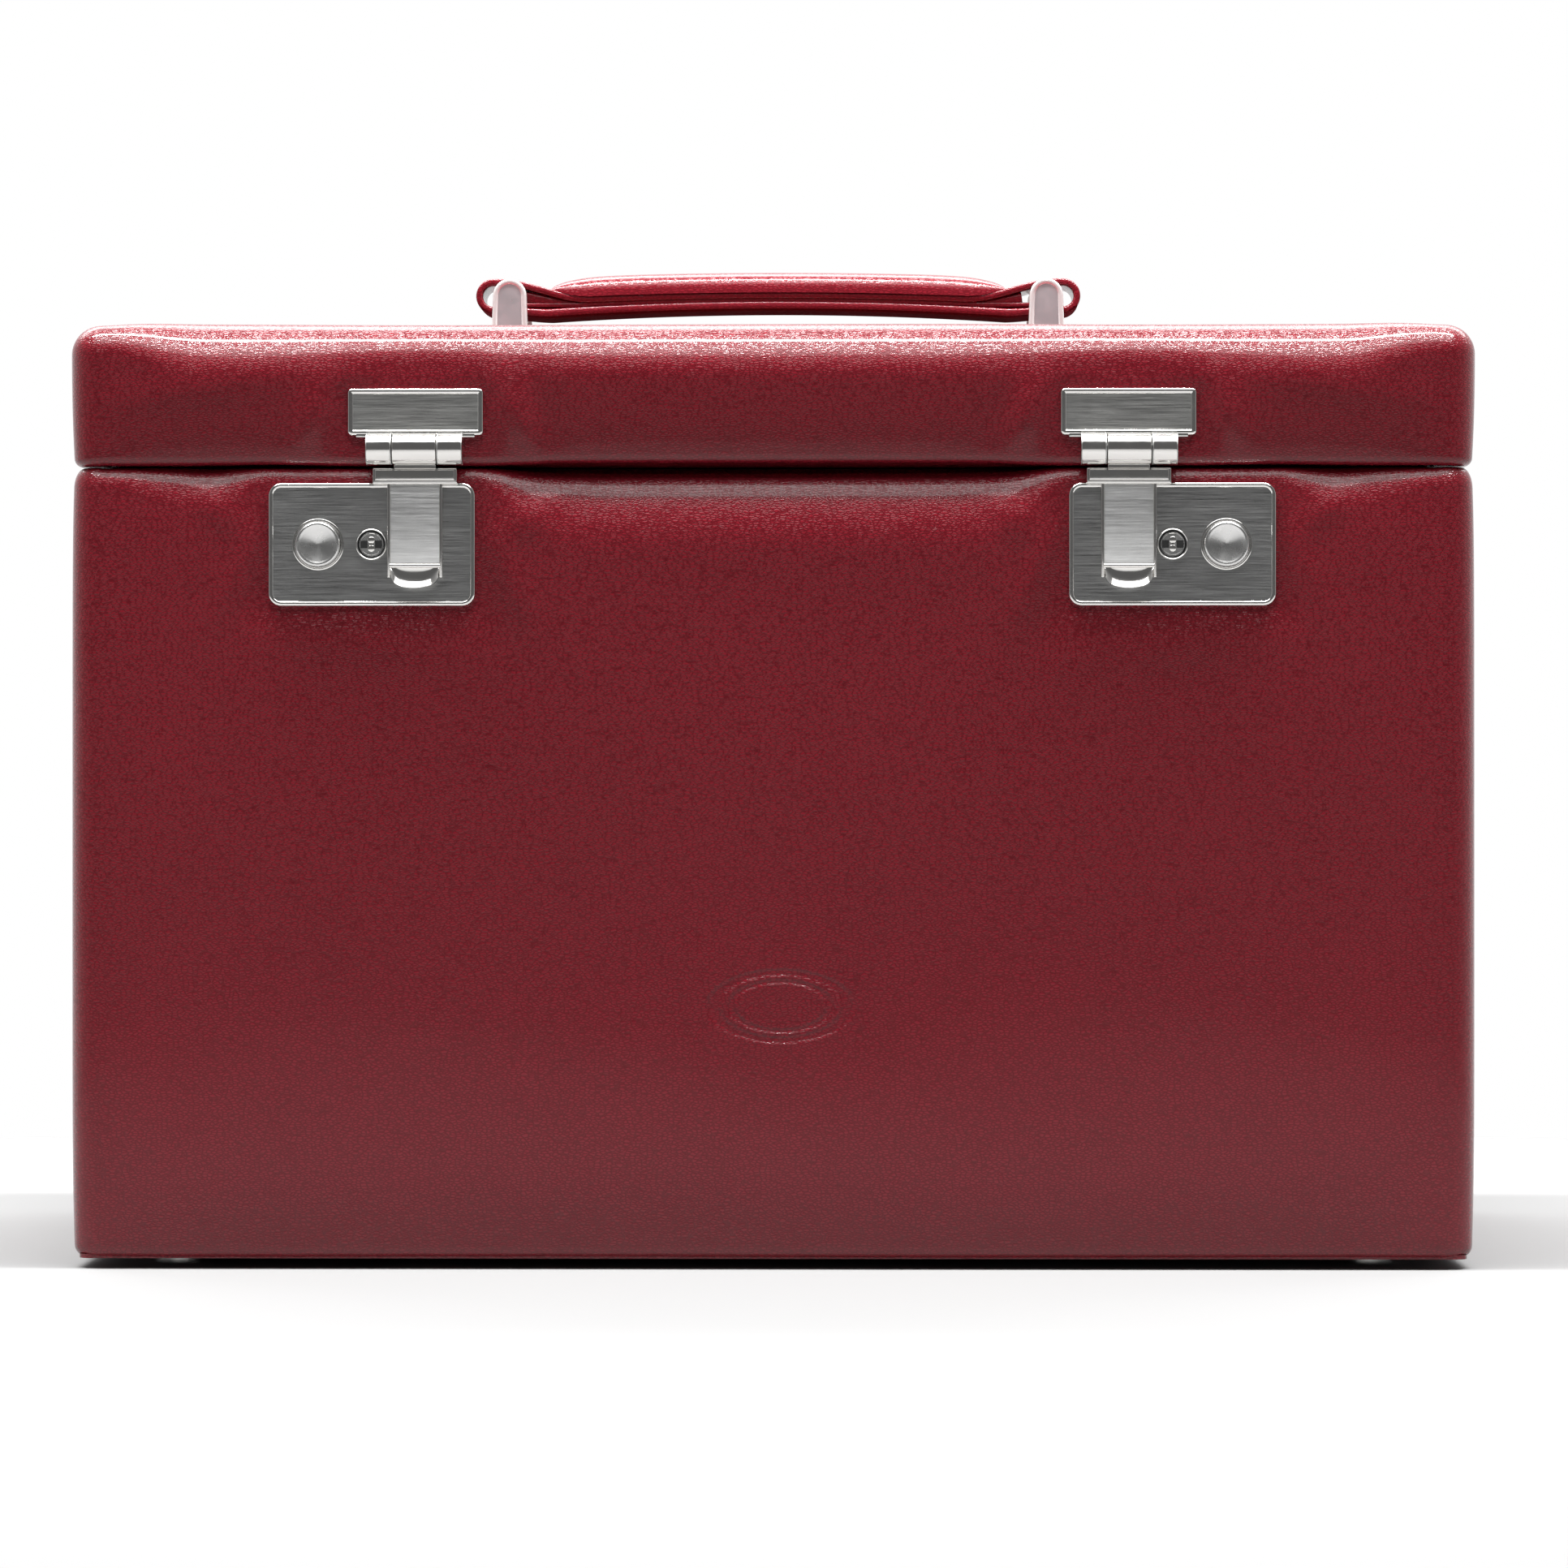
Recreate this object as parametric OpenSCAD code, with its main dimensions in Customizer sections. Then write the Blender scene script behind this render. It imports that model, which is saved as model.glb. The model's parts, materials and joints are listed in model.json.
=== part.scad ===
// Leather jewellery case with a top-opening lid, two hasp locks, a strap handle
// and two trays that rise on cantilever arms as the lid opens.
// Millimetres. +X to the right, the front faces -Y, +Z up.
// Origin: centre of the footprint, on the surface that the case stands on.

/* [Case] */
// Width of the case over the leather
case_w = 340; // [336:1:346]
// Depth of the case over the leather
case_d = 220; // [218:1:224]
// Height of the lower part without its glides
base_h = 192; // [190:1:196]
// Height of the lid
lid_h = 34; // [33:1:37]
// Radius of the upright corners
corner_r = 5; // [4.8:0.1:6]
// Radius of the padded roll around the top of the lid
lid_roll_r = 11; // [9:0.5:11]
// Radius of the roll around the top of the lower part
base_roll_r = 5; // [4.5:0.5:6]
// Height of the metal glides
foot_h = 2.5; // [2:0.5:4]
// Radius of the metal glides
foot_r = 6; // [5:0.5:8]

/* [Walls] */
// Thickness of the outer leather
leather_t = 1.5; // [1.2:0.1:1.6]
// Thickness of the padding under the leather
foam_t = 3; // [2.9:0.1:3.2]
// Thickness of the boards of the carcass
board_t = 6; // [5.8:0.1:6.1]
// Thickness of the lining
lining_t = 1.5; // [1.2:0.1:1.6]

/* [Locks] */
// Distance of each hasp from the middle
hasp_x = 86.3; // [85:0.5:88]
// Distance of each lock plate's middle from the middle of the case
lock_x = 96.9; // [96:0.5:98]
// Width of a lock plate
lock_w = 49.9; // [49:0.5:52]
// Height of a lock plate
lock_h = 29.6; // [29:0.5:31]
// Distance of each push button from the middle
button_x = 109.9; // [109.5:0.1:110.2]
// Radius of a push button
button_r = 5.5; // [5:0.1:5.6]
// Radius of a key cylinder
key_r = 3.3; // [3:0.1:3.4]
// Width of a catch plate
catch_w = 32.7; // [31:0.5:34]
// Height of a catch plate
catch_h = 11.2; // [10.5:0.1:11.5]
// Radius of the hasp knuckles
knuckle_r = 3.9; // [3.7:0.1:3.9]
// Thickness of the lock and catch plates
plate_t = 1.2; // [1:0.1:1.3]

/* [Handle] */
// Distance of each handle bracket from the middle
bracket_x = 69.2; // [68:0.2:70]
// Width of a bracket cheek
bracket_w = 8.6; // [8:0.2:9]
// Width of the strap from front to back
strap_w = 20; // [18:0.5:21]
// Radius of the cross pins
handle_pin_r = 1.5; // [1.3:0.1:1.5]
// Half length of the padded grip
pad_half = 57.5; // [54:0.5:58]

/* [Trays] */
// Half width of the lower tray
tray_half_w = 150; // [148:0.5:150]
// Height of each tray
tray_h = 38; // [34:1:38]
// Thickness of the tray walls and floor
tray_t = 4; // [3:0.5:5]
// Number of ring rolls in the upper tray
ring_rolls_n = 8; // [6:1:8]

/* [Lift arms] */
// Length of a lift arm between its pivots
arm_l = 60; // [58:1:60]
// Distance between the rear and front arms
arm_gap = 72; // [71.5:0.5:74]
// Thickness of the arms and links
arm_t = 2; // [1.6:0.1:2]
// Half width of the arms
arm_hw = 4.5; // [4:0.1:4.6]

/* [View] */
// Which sub-part to build

/* [Hidden] */
$fn = 64;
hw = case_w / 2;
hd = case_d / 2;
seam = foot_h + base_h;
base_top = seam - 0.2;
lid_bot = seam + 0.2;
lid_top = seam + lid_h;
skin = leather_t + foam_t;
bx = hw - skin;              // outer half width of the boards
by = hd - skin;
ix = bx - board_t;           // inner half width of the boards
iy = by - board_t;
cx = ix - lining_t;          // clear half width inside the lining
cy = iy - lining_t;
board_z0 = foot_h + 1;
floor_z = board_z0 + board_t;
pad_top = floor_z + 2.5;
rim_z = base_top - leather_t - 1;
lid_rim_z = lid_bot + leather_t + 1;
lid_board_top = lid_top - skin;
lid_board_bot = lid_board_top - 5;
// back hinge
hinge_y = hd + 2.7;
hinge_z = seam;
// front hardware, measured down from the seam
face_y = -hd;
plate_y = face_y - plate_t;
kn_y = face_y - knuckle_r - 0.05;
kn_z = seam + 4.1;
catch_z = seam + 13.2;
lock_z = seam - 18.9;
lock_top = lock_z + lock_h / 2;
staple_z = lock_z + 5.4;
// handle
pin_z = lid_top + 16.4;
cheek_z = lid_top + 15.5;
loop_z = lid_top + 15.6;
pad_h = 5;
stack_lo = lid_top + 11.1;
stack_hi = lid_top + 16.8;
split_x = 35;
// tray arms, in distance forward of the back face and height
d1_s = 45;
d1_z = seam - 8.5;
v_s = 41;
v_z = 9;
arm_a = -30;
d1_y = hd - d1_s;
d2_y = d1_y - arm_gap;
up_y = d1_y - arm_l * cos(arm_a);
up_z = d1_z + arm_l * sin(arm_a);
lo_y = d1_y - arm_l / 2 * cos(arm_a);
lo_z = d1_z + arm_l / 2 * sin(arm_a);
c_y = d1_y - v_s;
c_z = d1_z + v_z;
b_y = hinge_y - v_s;
b_z = hinge_z + v_z;
arm_x = cx - 0.7 - arm_t;
link_x = arm_x - 0.4 - arm_t;
tray_y0 = hd - 197;
tray_y1 = hd - 26;
tray_up_z = d1_z - 38;
tray_lo_z = tray_up_z - 2 - tray_h;
tray_up_hw = tray_half_w - 0.7;

leather_c = [0.43, 0.13, 0.17];
lining_c = [0.62, 0.50, 0.44];
foam_c = [0.86, 0.84, 0.78];
board_c = [0.62, 0.48, 0.33];
nickel_c = [0.74, 0.73, 0.70];
brushed_c = [0.58, 0.58, 0.57];
steel_c = [0.66, 0.67, 0.69];

// rounded rectangle, centred
module rr(w, d, r) {
  union() {
    square([w, d - 2 * r], center = true);
    square([w - 2 * r, d], center = true);
    for (i = [-1, 1], j = [-1, 1]) translate([i * (w / 2 - r), j * (d / 2 - r)]) circle(r);
  }
}

// profile with its two upper corners rounded
module arch_profile(w, z0, z1, r) {
  union() {
    translate([-w / 2, z0]) square([w, z1 - z0 - r]);
    translate([-w / 2 + r, z0]) square([w - 2 * r, z1 - z0]);
    for (i = [-1, 1]) translate([i * (w / 2 - r), z1 - r]) circle(r);
  }
}

// block with round upright corners and a roll around its top
module rolled(w, d, z0, z1, rc, rt) {
  intersection() {
    translate([0, 0, z0 - 1]) linear_extrude(z1 - z0 + 2) rr(w, d, rc);
    rotate([90, 0, 0]) translate([0, 0, -d / 2 - 1]) linear_extrude(d + 2) arch_profile(w, z0, z1, rt);
    rotate([90, 0, 90]) translate([0, 0, -w / 2 - 1]) linear_extrude(w + 2) arch_profile(d, z0, z1, rt);
  }
}

module box(x0, x1, y0, y1, z0, z1) {
  translate([x0, y0, z0]) cube([x1 - x0, y1 - y0, z1 - z0]);
}

// cylinder along X
module cx_(x0, x1, y, z, r) {
  translate([x0, y, z]) rotate([0, 90, 0]) cylinder(r = r, h = x1 - x0);
}

// cylinder along Y, from y0 towards +Y
module cy_(x, y0, y1, z, r) {
  translate([x, y0, z]) rotate([-90, 0, 0]) cylinder(r = r, h = y1 - y0);
}

// mortise for the lock works, and the slot for the hasp's staple
module lock_mortise(k, y_in) {
  x = k * lock_x;
  box(x - 21, x + 21, face_y - 5, y_in, lock_z - 10, lock_z + 10);
}
module staple_slot(k, y_in) {
  x = k * hasp_x;
  box(x - 1.7, x + 1.7, face_y - 5, y_in, staple_z - 3.6, seam + 0.1);
}

// ---------- lower part ----------
module base_bottom_board() color(board_c) box(-bx, bx, -by, by, board_z0, floor_z);
module base_front_board() color(board_c) difference() {
  box(-bx, bx, -by, -iy, floor_z, rim_z);
  for (k = [-1, 1]) lock_mortise(k, -hd + 9.4);
}
module base_back_board() color(board_c) box(-bx, bx, iy, by, floor_z, rim_z);
module base_left_board() color(board_c) box(-bx, -ix, -iy, iy, floor_z, rim_z);
module base_right_board() color(board_c) box(ix, bx, -iy, iy, floor_z, rim_z);

module base_padding() color(foam_c) difference() {
  rolled(case_w - 2 * leather_t, case_d - 2 * leather_t, board_z0, base_top - leather_t, corner_r - leather_t, base_roll_r - leather_t);
  box(-bx, bx, -by, by, board_z0 - 5, rim_z);
  box(-ix, ix, -iy, iy, board_z0 - 5, seam + 5);
  for (k = [-1, 1]) { lock_mortise(k, -iy); staple_slot(k, face_y + 1.8); }
}
module base_cover() color(leather_c) difference() {
  rolled(case_w, case_d, foot_h, base_top, corner_r, base_roll_r);
  rolled(case_w - 2 * leather_t, case_d - 2 * leather_t, foot_h - 20, base_top - leather_t, corner_r - leather_t, base_roll_r - leather_t);
  box(-ix, ix, -iy, iy, seam - 20, seam + 5);
  for (k = [-1, 1]) { lock_mortise(k, -iy); staple_slot(k, face_y + 1.8); }
}
module base_bottom_cover() color(leather_c)
  translate([0, 0, foot_h]) linear_extrude(board_z0 - foot_h) rr(case_w - 2 * leather_t, case_d - 2 * leather_t, corner_r - leather_t);
module base_lining() color(lining_c) difference() {
  box(-ix, ix, -iy, iy, floor_z, base_top);
  box(-cx, cx, -cy, cy, pad_top, base_top + 5);
  for (k = [-1, 1]) arm_plate(k, 0);
}
module feet() color(nickel_c)
  for (i = [-1, 1], j = [-1, 1]) translate([i * (hw - 24), j * (hd - 24), 0]) union() {
    cylinder(r = foot_r, h = foot_h);
  }
module compartment_divider() color(lining_c) box(38.5, 41.5, -cy, cy, pad_top, tray_lo_z - 6);

// ---------- lid ----------
module screw_holes(r) {
  for (k = [-1, 1], j = [-1, 1]) translate([k * (bracket_x + 9), j * 5.5, lid_board_bot - 1]) cylinder(r = r, h = 40);
}
module lid_top_board() color(board_c) difference() {
  box(-bx, bx, -by, by, lid_board_bot, lid_board_top);
  screw_holes(1.5);
}
module lid_front_board() color(board_c) box(-bx, bx, -by, -iy, lid_rim_z, lid_board_bot);
module lid_back_board() color(board_c) box(-bx, bx, iy, by, lid_rim_z, lid_board_bot);
module lid_left_board() color(board_c) box(-bx, -ix, -iy, iy, lid_rim_z, lid_board_bot);
module lid_right_board() color(board_c) box(ix, bx, -iy, iy, lid_rim_z, lid_board_bot);
module lid_padding() color(foam_c) difference() {
  rolled(case_w - 2 * leather_t, case_d - 2 * leather_t, lid_bot + leather_t, lid_top - leather_t, corner_r - leather_t, lid_roll_r - leather_t);
  box(-bx, bx, -by, by, lid_rim_z, lid_board_top);
  box(-ix, ix, -iy, iy, lid_bot - 5, lid_board_bot);
  screw_holes(1.5);
}
module lid_cover() color(leather_c) difference() {
  rolled(case_w, case_d, lid_bot, lid_top, corner_r, lid_roll_r);
  rolled(case_w - 2 * leather_t, case_d - 2 * leather_t, lid_bot + leather_t, lid_top - leather_t, corner_r - leather_t, lid_roll_r - leather_t);
  box(-ix, ix, -iy, iy, lid_bot - 5, lid_bot + 5);
  screw_holes(1.5);
}
module lid_lining() color(lining_c) difference() {
  box(-ix, ix, -iy, iy, lid_bot, lid_board_bot);
  box(-cx, cx, -cy, cy, lid_bot - 5, lid_board_bot - lining_t);
  for (k = [-1, 1]) lid_plate(k);
}
module mirror_glass() color([0.75, 0.80, 0.84])
  translate([0, 0, lid_board_bot - lining_t - 2]) linear_extrude(2) rr(210, 120, 6);
module mirror_frame() color(lining_c)
  translate([0, 0, lid_board_bot - lining_t - 3.5]) difference() {
    linear_extrude(3.5) rr(240, 150, 8);
    translate([0, 0, 1.5]) linear_extrude(5) rr(210, 120, 6);
    translate([0, 0, -1]) linear_extrude(5) rr(200, 110, 3);
  }

// ---------- back hinge ----------
hinge_l = 279;
hinge_n = 9;
kn_l = hinge_l / hinge_n;
module knuckles(odd, r_hole) {
  for (i = [0 : hinge_n - 1]) if (i % 2 == odd)
    cx_(-hinge_l / 2 + i * kn_l + 0.15, -hinge_l / 2 + (i + 1) * kn_l - 0.15, hinge_y, hinge_z, 2.5);
}
module hinge_leaf_base() color(nickel_c) difference() {
  union() {
    box(-hinge_l / 2, hinge_l / 2, hd, hd + 1, hinge_z - 20, hinge_z - 3.2);
    for (i = [0 : hinge_n - 1]) if (i % 2 == 0)
      box(-hinge_l / 2 + i * kn_l + 0.15, -hinge_l / 2 + (i + 1) * kn_l - 0.15, hd, hd + 1, hinge_z - 4, hinge_z - 1.2);
    knuckles(0);
  }
  cx_(-hinge_l, hinge_l, hinge_y, hinge_z, 1.2);
}
module hinge_leaf_lid() color(nickel_c) difference() {
  union() {
    box(-hinge_l / 2, hinge_l / 2, hd, hd + 1, hinge_z + 3.2, hinge_z + 18);
    for (i = [0 : hinge_n - 1]) if (i % 2 == 1)
      box(-hinge_l / 2 + i * kn_l + 0.15, -hinge_l / 2 + (i + 1) * kn_l - 0.15, hd, hd + 1, hinge_z + 1.2, hinge_z + 4);
    knuckles(1);
  }
  cx_(-hinge_l, hinge_l, hinge_y, hinge_z, 1.25);
}
module hinge_pin() color(steel_c) cx_(-hinge_l / 2, hinge_l / 2, hinge_y, hinge_z, 1.2);

// ---------- front locks ----------
module catch_plate(k) {
  x = k * hasp_x;
  difference() {
    union() {
      translate([x, face_y, catch_z]) rotate([90, 0, 0]) linear_extrude(plate_t) rr(catch_w, catch_h, 1);
      for (s = [-1, 1]) {
        cx_(x + (s > 0 ? 5.5 : -11.6), x + (s > 0 ? 11.6 : -5.5), kn_y, kn_z, knuckle_r);
        box(x + (s > 0 ? 5.5 : -11.6), x + (s > 0 ? 11.6 : -5.5), kn_y, face_y, kn_z + 1.5, kn_z + 3.9);
      }
    }
    cx_(x - 20, x + 20, kn_y, kn_z, 1.5);
    box(x - 5.5, x + 5.5, kn_y - 5, face_y - plate_t, kn_z - 5, kn_z + 8);
    cx_(x - 5.5, x + 5.5, kn_y, kn_z, knuckle_r + 0.15);
  }
}
module catch_plate_left() color(brushed_c) catch_plate(-1);
module catch_plate_right() color(brushed_c) catch_plate(1);
module hasp_pins() color(steel_c)
  for (k = [-1, 1]) cx_(k * hasp_x - 11.6, k * hasp_x + 11.6, kn_y, kn_z, 1.5);
module hasp(k) {
  x = k * hasp_x;
  yb = plate_y - 0.1;
  yf = yb - 1.6;
  difference() {
    union() {
      cx_(x - 5.35, x + 5.35, kn_y, kn_z, knuckle_r);
      box(x - 5.1, x + 5.1, yf, yb, seam - 3, kn_z);
      box(x - 10.2, x + 10.2, yf - 0.7, yb, seam - 4.4, seam - 0.5);
      box(x - 6.3, x + 6.3, yf, yb, seam - 27.8, seam - 3);
      for (s = [-1, 1]) cx_(x + s * 6.25 - 0.4, x + s * 6.25 + 0.4, yf + 0.6, seam - 26, 0.6);
      for (s = [-1, 1]) box(x + s * 6.25 - 0.4, x + s * 6.25 + 0.4, yf - 0.35, yb, seam - 26, seam - 4);
      cx_(x - 6.3, x + 6.3, yf, seam - 24.1, 0.5);
      cx_(x - 6, x + 6, yf - 0.1, seam - 27.9, 1.6);
      box(x - 1.5, x + 1.5, yb - 0.5, yb + 2.9, staple_z - 3, staple_z + 3);
    }
    cx_(x - 20, x + 20, kn_y, kn_z, 1.55);
    box(x - 5, x + 5, face_y - 0.6, face_y + 0.8, staple_z - 1, staple_z + 1);
  }
}
module hasp_left() color(nickel_c) hasp(-1);
module hasp_right() color(nickel_c) hasp(1);
module lock_plate(k) {
  x = k * lock_x;
  difference() {
    union() {
      translate([x, face_y, lock_z]) rotate([90, 0, 0]) linear_extrude(plate_t) rr(lock_w, lock_h, 3);
      cy_(x, plate_y - 1, face_y, lock_z, key_r + 0.5);
    }
    cy_(x, face_y - 9, face_y + 9, lock_z, key_r + 0.06);
    cy_(k * button_x, face_y - 9, face_y + 9, lock_z, button_r + 0.08);
    staple_slot(k, face_y + 5);
  }
}
module lock_plate_left() color(brushed_c) lock_plate(-1);
module lock_plate_right() color(brushed_c) lock_plate(1);
module lock_case(k) {
  x = k * lock_x;
  difference() {
    box(x - 21, x + 21, face_y, face_y + 9.4, lock_z - 10, lock_z + 10);
    cy_(x, face_y - 1, face_y + 7, lock_z, key_r + 0.06);
    cy_(k * button_x, face_y - 1, face_y + 8, lock_z, button_r + 0.08);
    staple_slot(k, face_y + 1.8);
    box(min(k * (hasp_x - 2.5), k * (button_x - 2.2)), max(k * (hasp_x - 2.5), k * (button_x - 2.2)), face_y - 1, face_y + 0.7, staple_z - 0.8, staple_z + 0.8);
  }
}
module lock_case_left() color(steel_c) lock_case(-1);
module lock_case_right() color(steel_c) lock_case(1);
module button(k) {
  difference() {
    cy_(k * button_x, plate_y - 2, face_y + 5, lock_z, button_r);
    translate([k * button_x, plate_y - 2 - 13.3, lock_z]) sphere(r = 14);
  }
}
module button_left() color(nickel_c) button(-1);
module button_right() color(nickel_c) button(1);
module key(k) {
  x = k * lock_x;
  difference() {
    cy_(x, plate_y - 1.2, face_y + 6, lock_z, key_r);
    for (s = [-1, 1]) box(x + s * 1.5 - 0.45, x + s * 1.5 + 0.45, plate_y - 2, plate_y + 0.6, lock_z - 1.3, lock_z + 1.3);
  }
}
module key_left() color(steel_c) key(-1);
module key_right() color(steel_c) key(1);
module bolt(k) {
  box(min(k * (hasp_x - 2.2), k * (button_x - 6.4)), max(k * (hasp_x - 2.2), k * (button_x - 6.4)), face_y + 0.05, face_y + 0.6, staple_z - 0.7, staple_z + 0.7);
}
module bolt_left() color(steel_c) bolt(-1);
module bolt_right() color(steel_c) bolt(1);

// ---------- handle ----------
module bracket(k) {
  x = k * bracket_x;
  difference() {
    union() {
      // foot, reaching outward from under the loop
      box(min(x - k * 5, x + k * 13), max(x - k * 5, x + k * 13), -strap_w / 2 - 3, strap_w / 2 + 3, lid_top, lid_top + 1.5);
      for (s = [-1, 1]) translate([0, s > 0 ? strap_w / 2 + 3 : -strap_w / 2 - 1, 0]) rotate([90, 0, 0]) linear_extrude(2) union() {
        translate([x, cheek_z]) circle(bracket_w / 2);
        polygon([[x - bracket_w / 2, cheek_z], [x + bracket_w / 2, cheek_z], [x + bracket_w / 2 + 0.5, lid_top + 1], [x - bracket_w / 2 - 0.5, lid_top + 1]]);
      }
    }
    cy_(x, -50, 50, pin_z, handle_pin_r);
    // shallow panel in the outer face of each cheek
    for (s = [-1, 1]) translate([0, s > 0 ? strap_w / 2 + 4 : -strap_w / 2 - 2.6, 0]) rotate([90, 0, 0]) linear_extrude(1.4) difference() {
      union() {
        translate([x, cheek_z]) circle(bracket_w / 2 - 1);
        polygon([[x - bracket_w / 2 + 1, cheek_z], [x + bracket_w / 2 - 1, cheek_z], [x + bracket_w / 2 - 0.6, lid_top + 3], [x - bracket_w / 2 + 0.6, lid_top + 3]]);
      }
      translate([x, pin_z]) circle(handle_pin_r + 0.5);
    }
    screw_holes(1.5);
  }
}
module bracket_left() color(nickel_c) bracket(-1);
module bracket_right() color(nickel_c) bracket(1);
module bracket_screws() color(steel_c)
  for (k = [-1, 1], j = [-1, 1]) translate([k * (bracket_x + 9), j * 5.5, 0]) union() {
    translate([0, 0, lid_board_bot + 0.5]) cylinder(r = 1.5, h = lid_top + 1.5 - lid_board_bot);
    translate([0, 0, lid_top + 1.5]) cylinder(r = 2.6, h = 1.2);
  }
module handle_pins() color(nickel_c)
  for (k = [-1, 1]) cy_(k * bracket_x, -strap_w / 2 - 3, strap_w / 2 + 3, pin_z, handle_pin_r);
module handle_core() color(leather_c) box(-split_x, split_x, -strap_w / 2, strap_w / 2, stack_lo, stack_hi);
module handle_pad() color(leather_c)
  intersection() {
    translate([0, 0, stack_hi]) linear_extrude(pad_h) rr(2 * pad_half, strap_w, 4);
    rotate([90, 0, 90]) translate([0, 0, -100]) linear_extrude(200) translate([0, stack_hi + 0.1 - 4])
      arch_profile(strap_w, 0, pad_h + 3.9, 3.5);
  }
module handle_end() {
  xe = 78.1;
  r = 4.5;
  rotate([90, 0, 0]) translate([0, 0, -strap_w / 2]) linear_extrude(strap_w) difference() {
    union() {
      polygon([[split_x, stack_lo], [pad_half, stack_lo], [62, loop_z - r], [xe - r, loop_z - r], [xe - r, loop_z + r], [62, loop_z + r], [pad_half + 0.3, stack_hi], [split_x, stack_hi]]);
      translate([xe - r, loop_z]) circle(r);
    }
    polygon([[59, loop_z], [63, loop_z - 2.5], [xe - r, loop_z - 2.5], [xe - r, loop_z + 2.5], [63, loop_z + 2.5]]);
    translate([xe - r, loop_z]) circle(2.5);
  }
}
module handle_end_left() color(leather_c) rotate([0, 0, 180]) handle_end();
module handle_end_right() color(leather_c) handle_end();

// ---------- lift arms ----------
// plate let into the side lining of the lower part
module arm_plate(k, r) {
  a = k > 0 ? cx : -ix;
  box(a, a + lining_t, d2_y - 9, d1_y + 9, d1_z - 8, base_top);
}
module lid_plate(k) {
  a = k > 0 ? cx : -ix;
  box(a, a + lining_t, b_y - 9, b_y + 9, lid_bot, b_z + 8);
}
// x0 and x1 are distances from the middle, on side k
module stud(k, x0, x1, y, z, r) cx_(min(k * x0, k * x1), max(k * x0, k * x1), y, z, r);
module arm_pivots() color(steel_c)
  for (k = [-1, 1]) union() {
    arm_plate(k, 0);
    for (y = [d1_y, d2_y]) {
      stud(k, cx - 0.6, cx + 0.5, y, d1_z, 3);
      stud(k, arm_x - 0.2, cx + 0.5, y, d1_z, 1.9);
      stud(k, arm_x - 1.2, arm_x - 0.1, y, d1_z, 3);
    }
  }
module lid_pivots() color(steel_c)
  for (k = [-1, 1]) union() {
    lid_plate(k);
    stud(k, link_x + arm_t + 0.1, cx + 0.5, b_y, b_z, 2.6);
    stud(k, link_x - 0.2, cx + 0.5, b_y, b_z, 1.5);
  }
// flat plate of an arm on side k: a 2D outline in Y and Z, extruded along X
module flat(k, x0) translate([min(k * x0, k * (x0 + arm_t)), 0, 0]) rotate([90, 0, 90]) linear_extrude(arm_t) children();
module bar2(p, q, w) {
  l = sqrt(pow(q[0] - p[0], 2) + pow(q[1] - p[1], 2));
  translate(p) rotate(atan2(q[1] - p[1], q[0] - p[0])) translate([0, -w]) square([l, 2 * w]);
}
module hub2(p, r) translate(p) circle(r);
module arm_outline(p, q) {
  bar2(p, q, arm_hw);
  hub2(p, arm_hw + 0.6);
  hub2(q, arm_hw + 0.6);
}
module crank(k) union() {
  flat(k, arm_x) difference() {
    union() {
      arm_outline([d1_y, d1_z], [up_y, up_z]);
      bar2([d1_y, d1_z], [c_y, c_z], arm_hw - 0.5);
      hub2([c_y, c_z], arm_hw + 0.2);
    }
    hub2([d1_y, d1_z], 1.95);
    hub2([up_y, up_z], 1.55);
    hub2([lo_y, lo_z], 1.55);
  }
  stud(k, link_x + arm_t + 0.1, arm_x + 0.5, c_y, c_z, 2.6);
  stud(k, link_x - 0.2, arm_x + 0.5, c_y, c_z, 1.5);
}
module crank_left() color(steel_c) crank(-1);
module crank_right() color(steel_c) crank(1);
module front_arm(k) flat(k, arm_x) difference() {
  arm_outline([d2_y, d1_z], [up_y - arm_gap, up_z]);
  hub2([d2_y, d1_z], 1.95);
  hub2([up_y - arm_gap, up_z], 1.55);
  hub2([lo_y - arm_gap, lo_z], 1.55);
}
module front_arm_left() color(steel_c) front_arm(-1);
module front_arm_right() color(steel_c) front_arm(1);
module link(k) flat(k, link_x) difference() {
  arm_outline([b_y, b_z], [c_y, c_z]);
  hub2([b_y, b_z], 1.55);
  hub2([c_y, c_z], 1.55);
}
module link_left() color(steel_c) link(-1);
module link_right() color(steel_c) link(1);

// ---------- trays ----------
module tray(w, z0) {
  difference() {
    box(-w, w, tray_y0, tray_y1, z0, z0 + tray_h);
    box(-w + tray_t, w - tray_t, tray_y0 + tray_t, tray_y1 - tray_t, z0 + tray_t, z0 + tray_h + 5);
  }
}
module upper_tray() color(leather_c) union() {
  tray(tray_up_hw, tray_up_z);
  for (k = [-1, 1], y = [up_y, up_y - arm_gap]) {
    stud(k, tray_up_hw - 2, arm_x - 0.2, y, up_z, 2.4);
    stud(k, tray_up_hw - 2, arm_x + arm_t + 0.3, y, up_z, 1.5);
  }
}
ty0 = tray_y0 + tray_t;
ty1 = tray_y1 - tray_t;
tzu = tray_up_z + tray_t;
tzl = tray_lo_z + tray_t;
module upper_dividers() color(lining_c) {
  for (x = [-52, 52]) box(x - 1.5, x + 1.5, ty0, ty1, tzu, tray_up_z + tray_h - 3);
  box(53.5, tray_up_hw - tray_t, -1.5, 1.5, tzu, tray_up_z + tray_h - 3);
  box(-tray_up_hw + tray_t, -53.5, -1.5, 1.5, tzu, tray_up_z + tray_h - 3);
}
roll_p = (ty1 - ty0 - 1) / ring_rolls_n;
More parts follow.
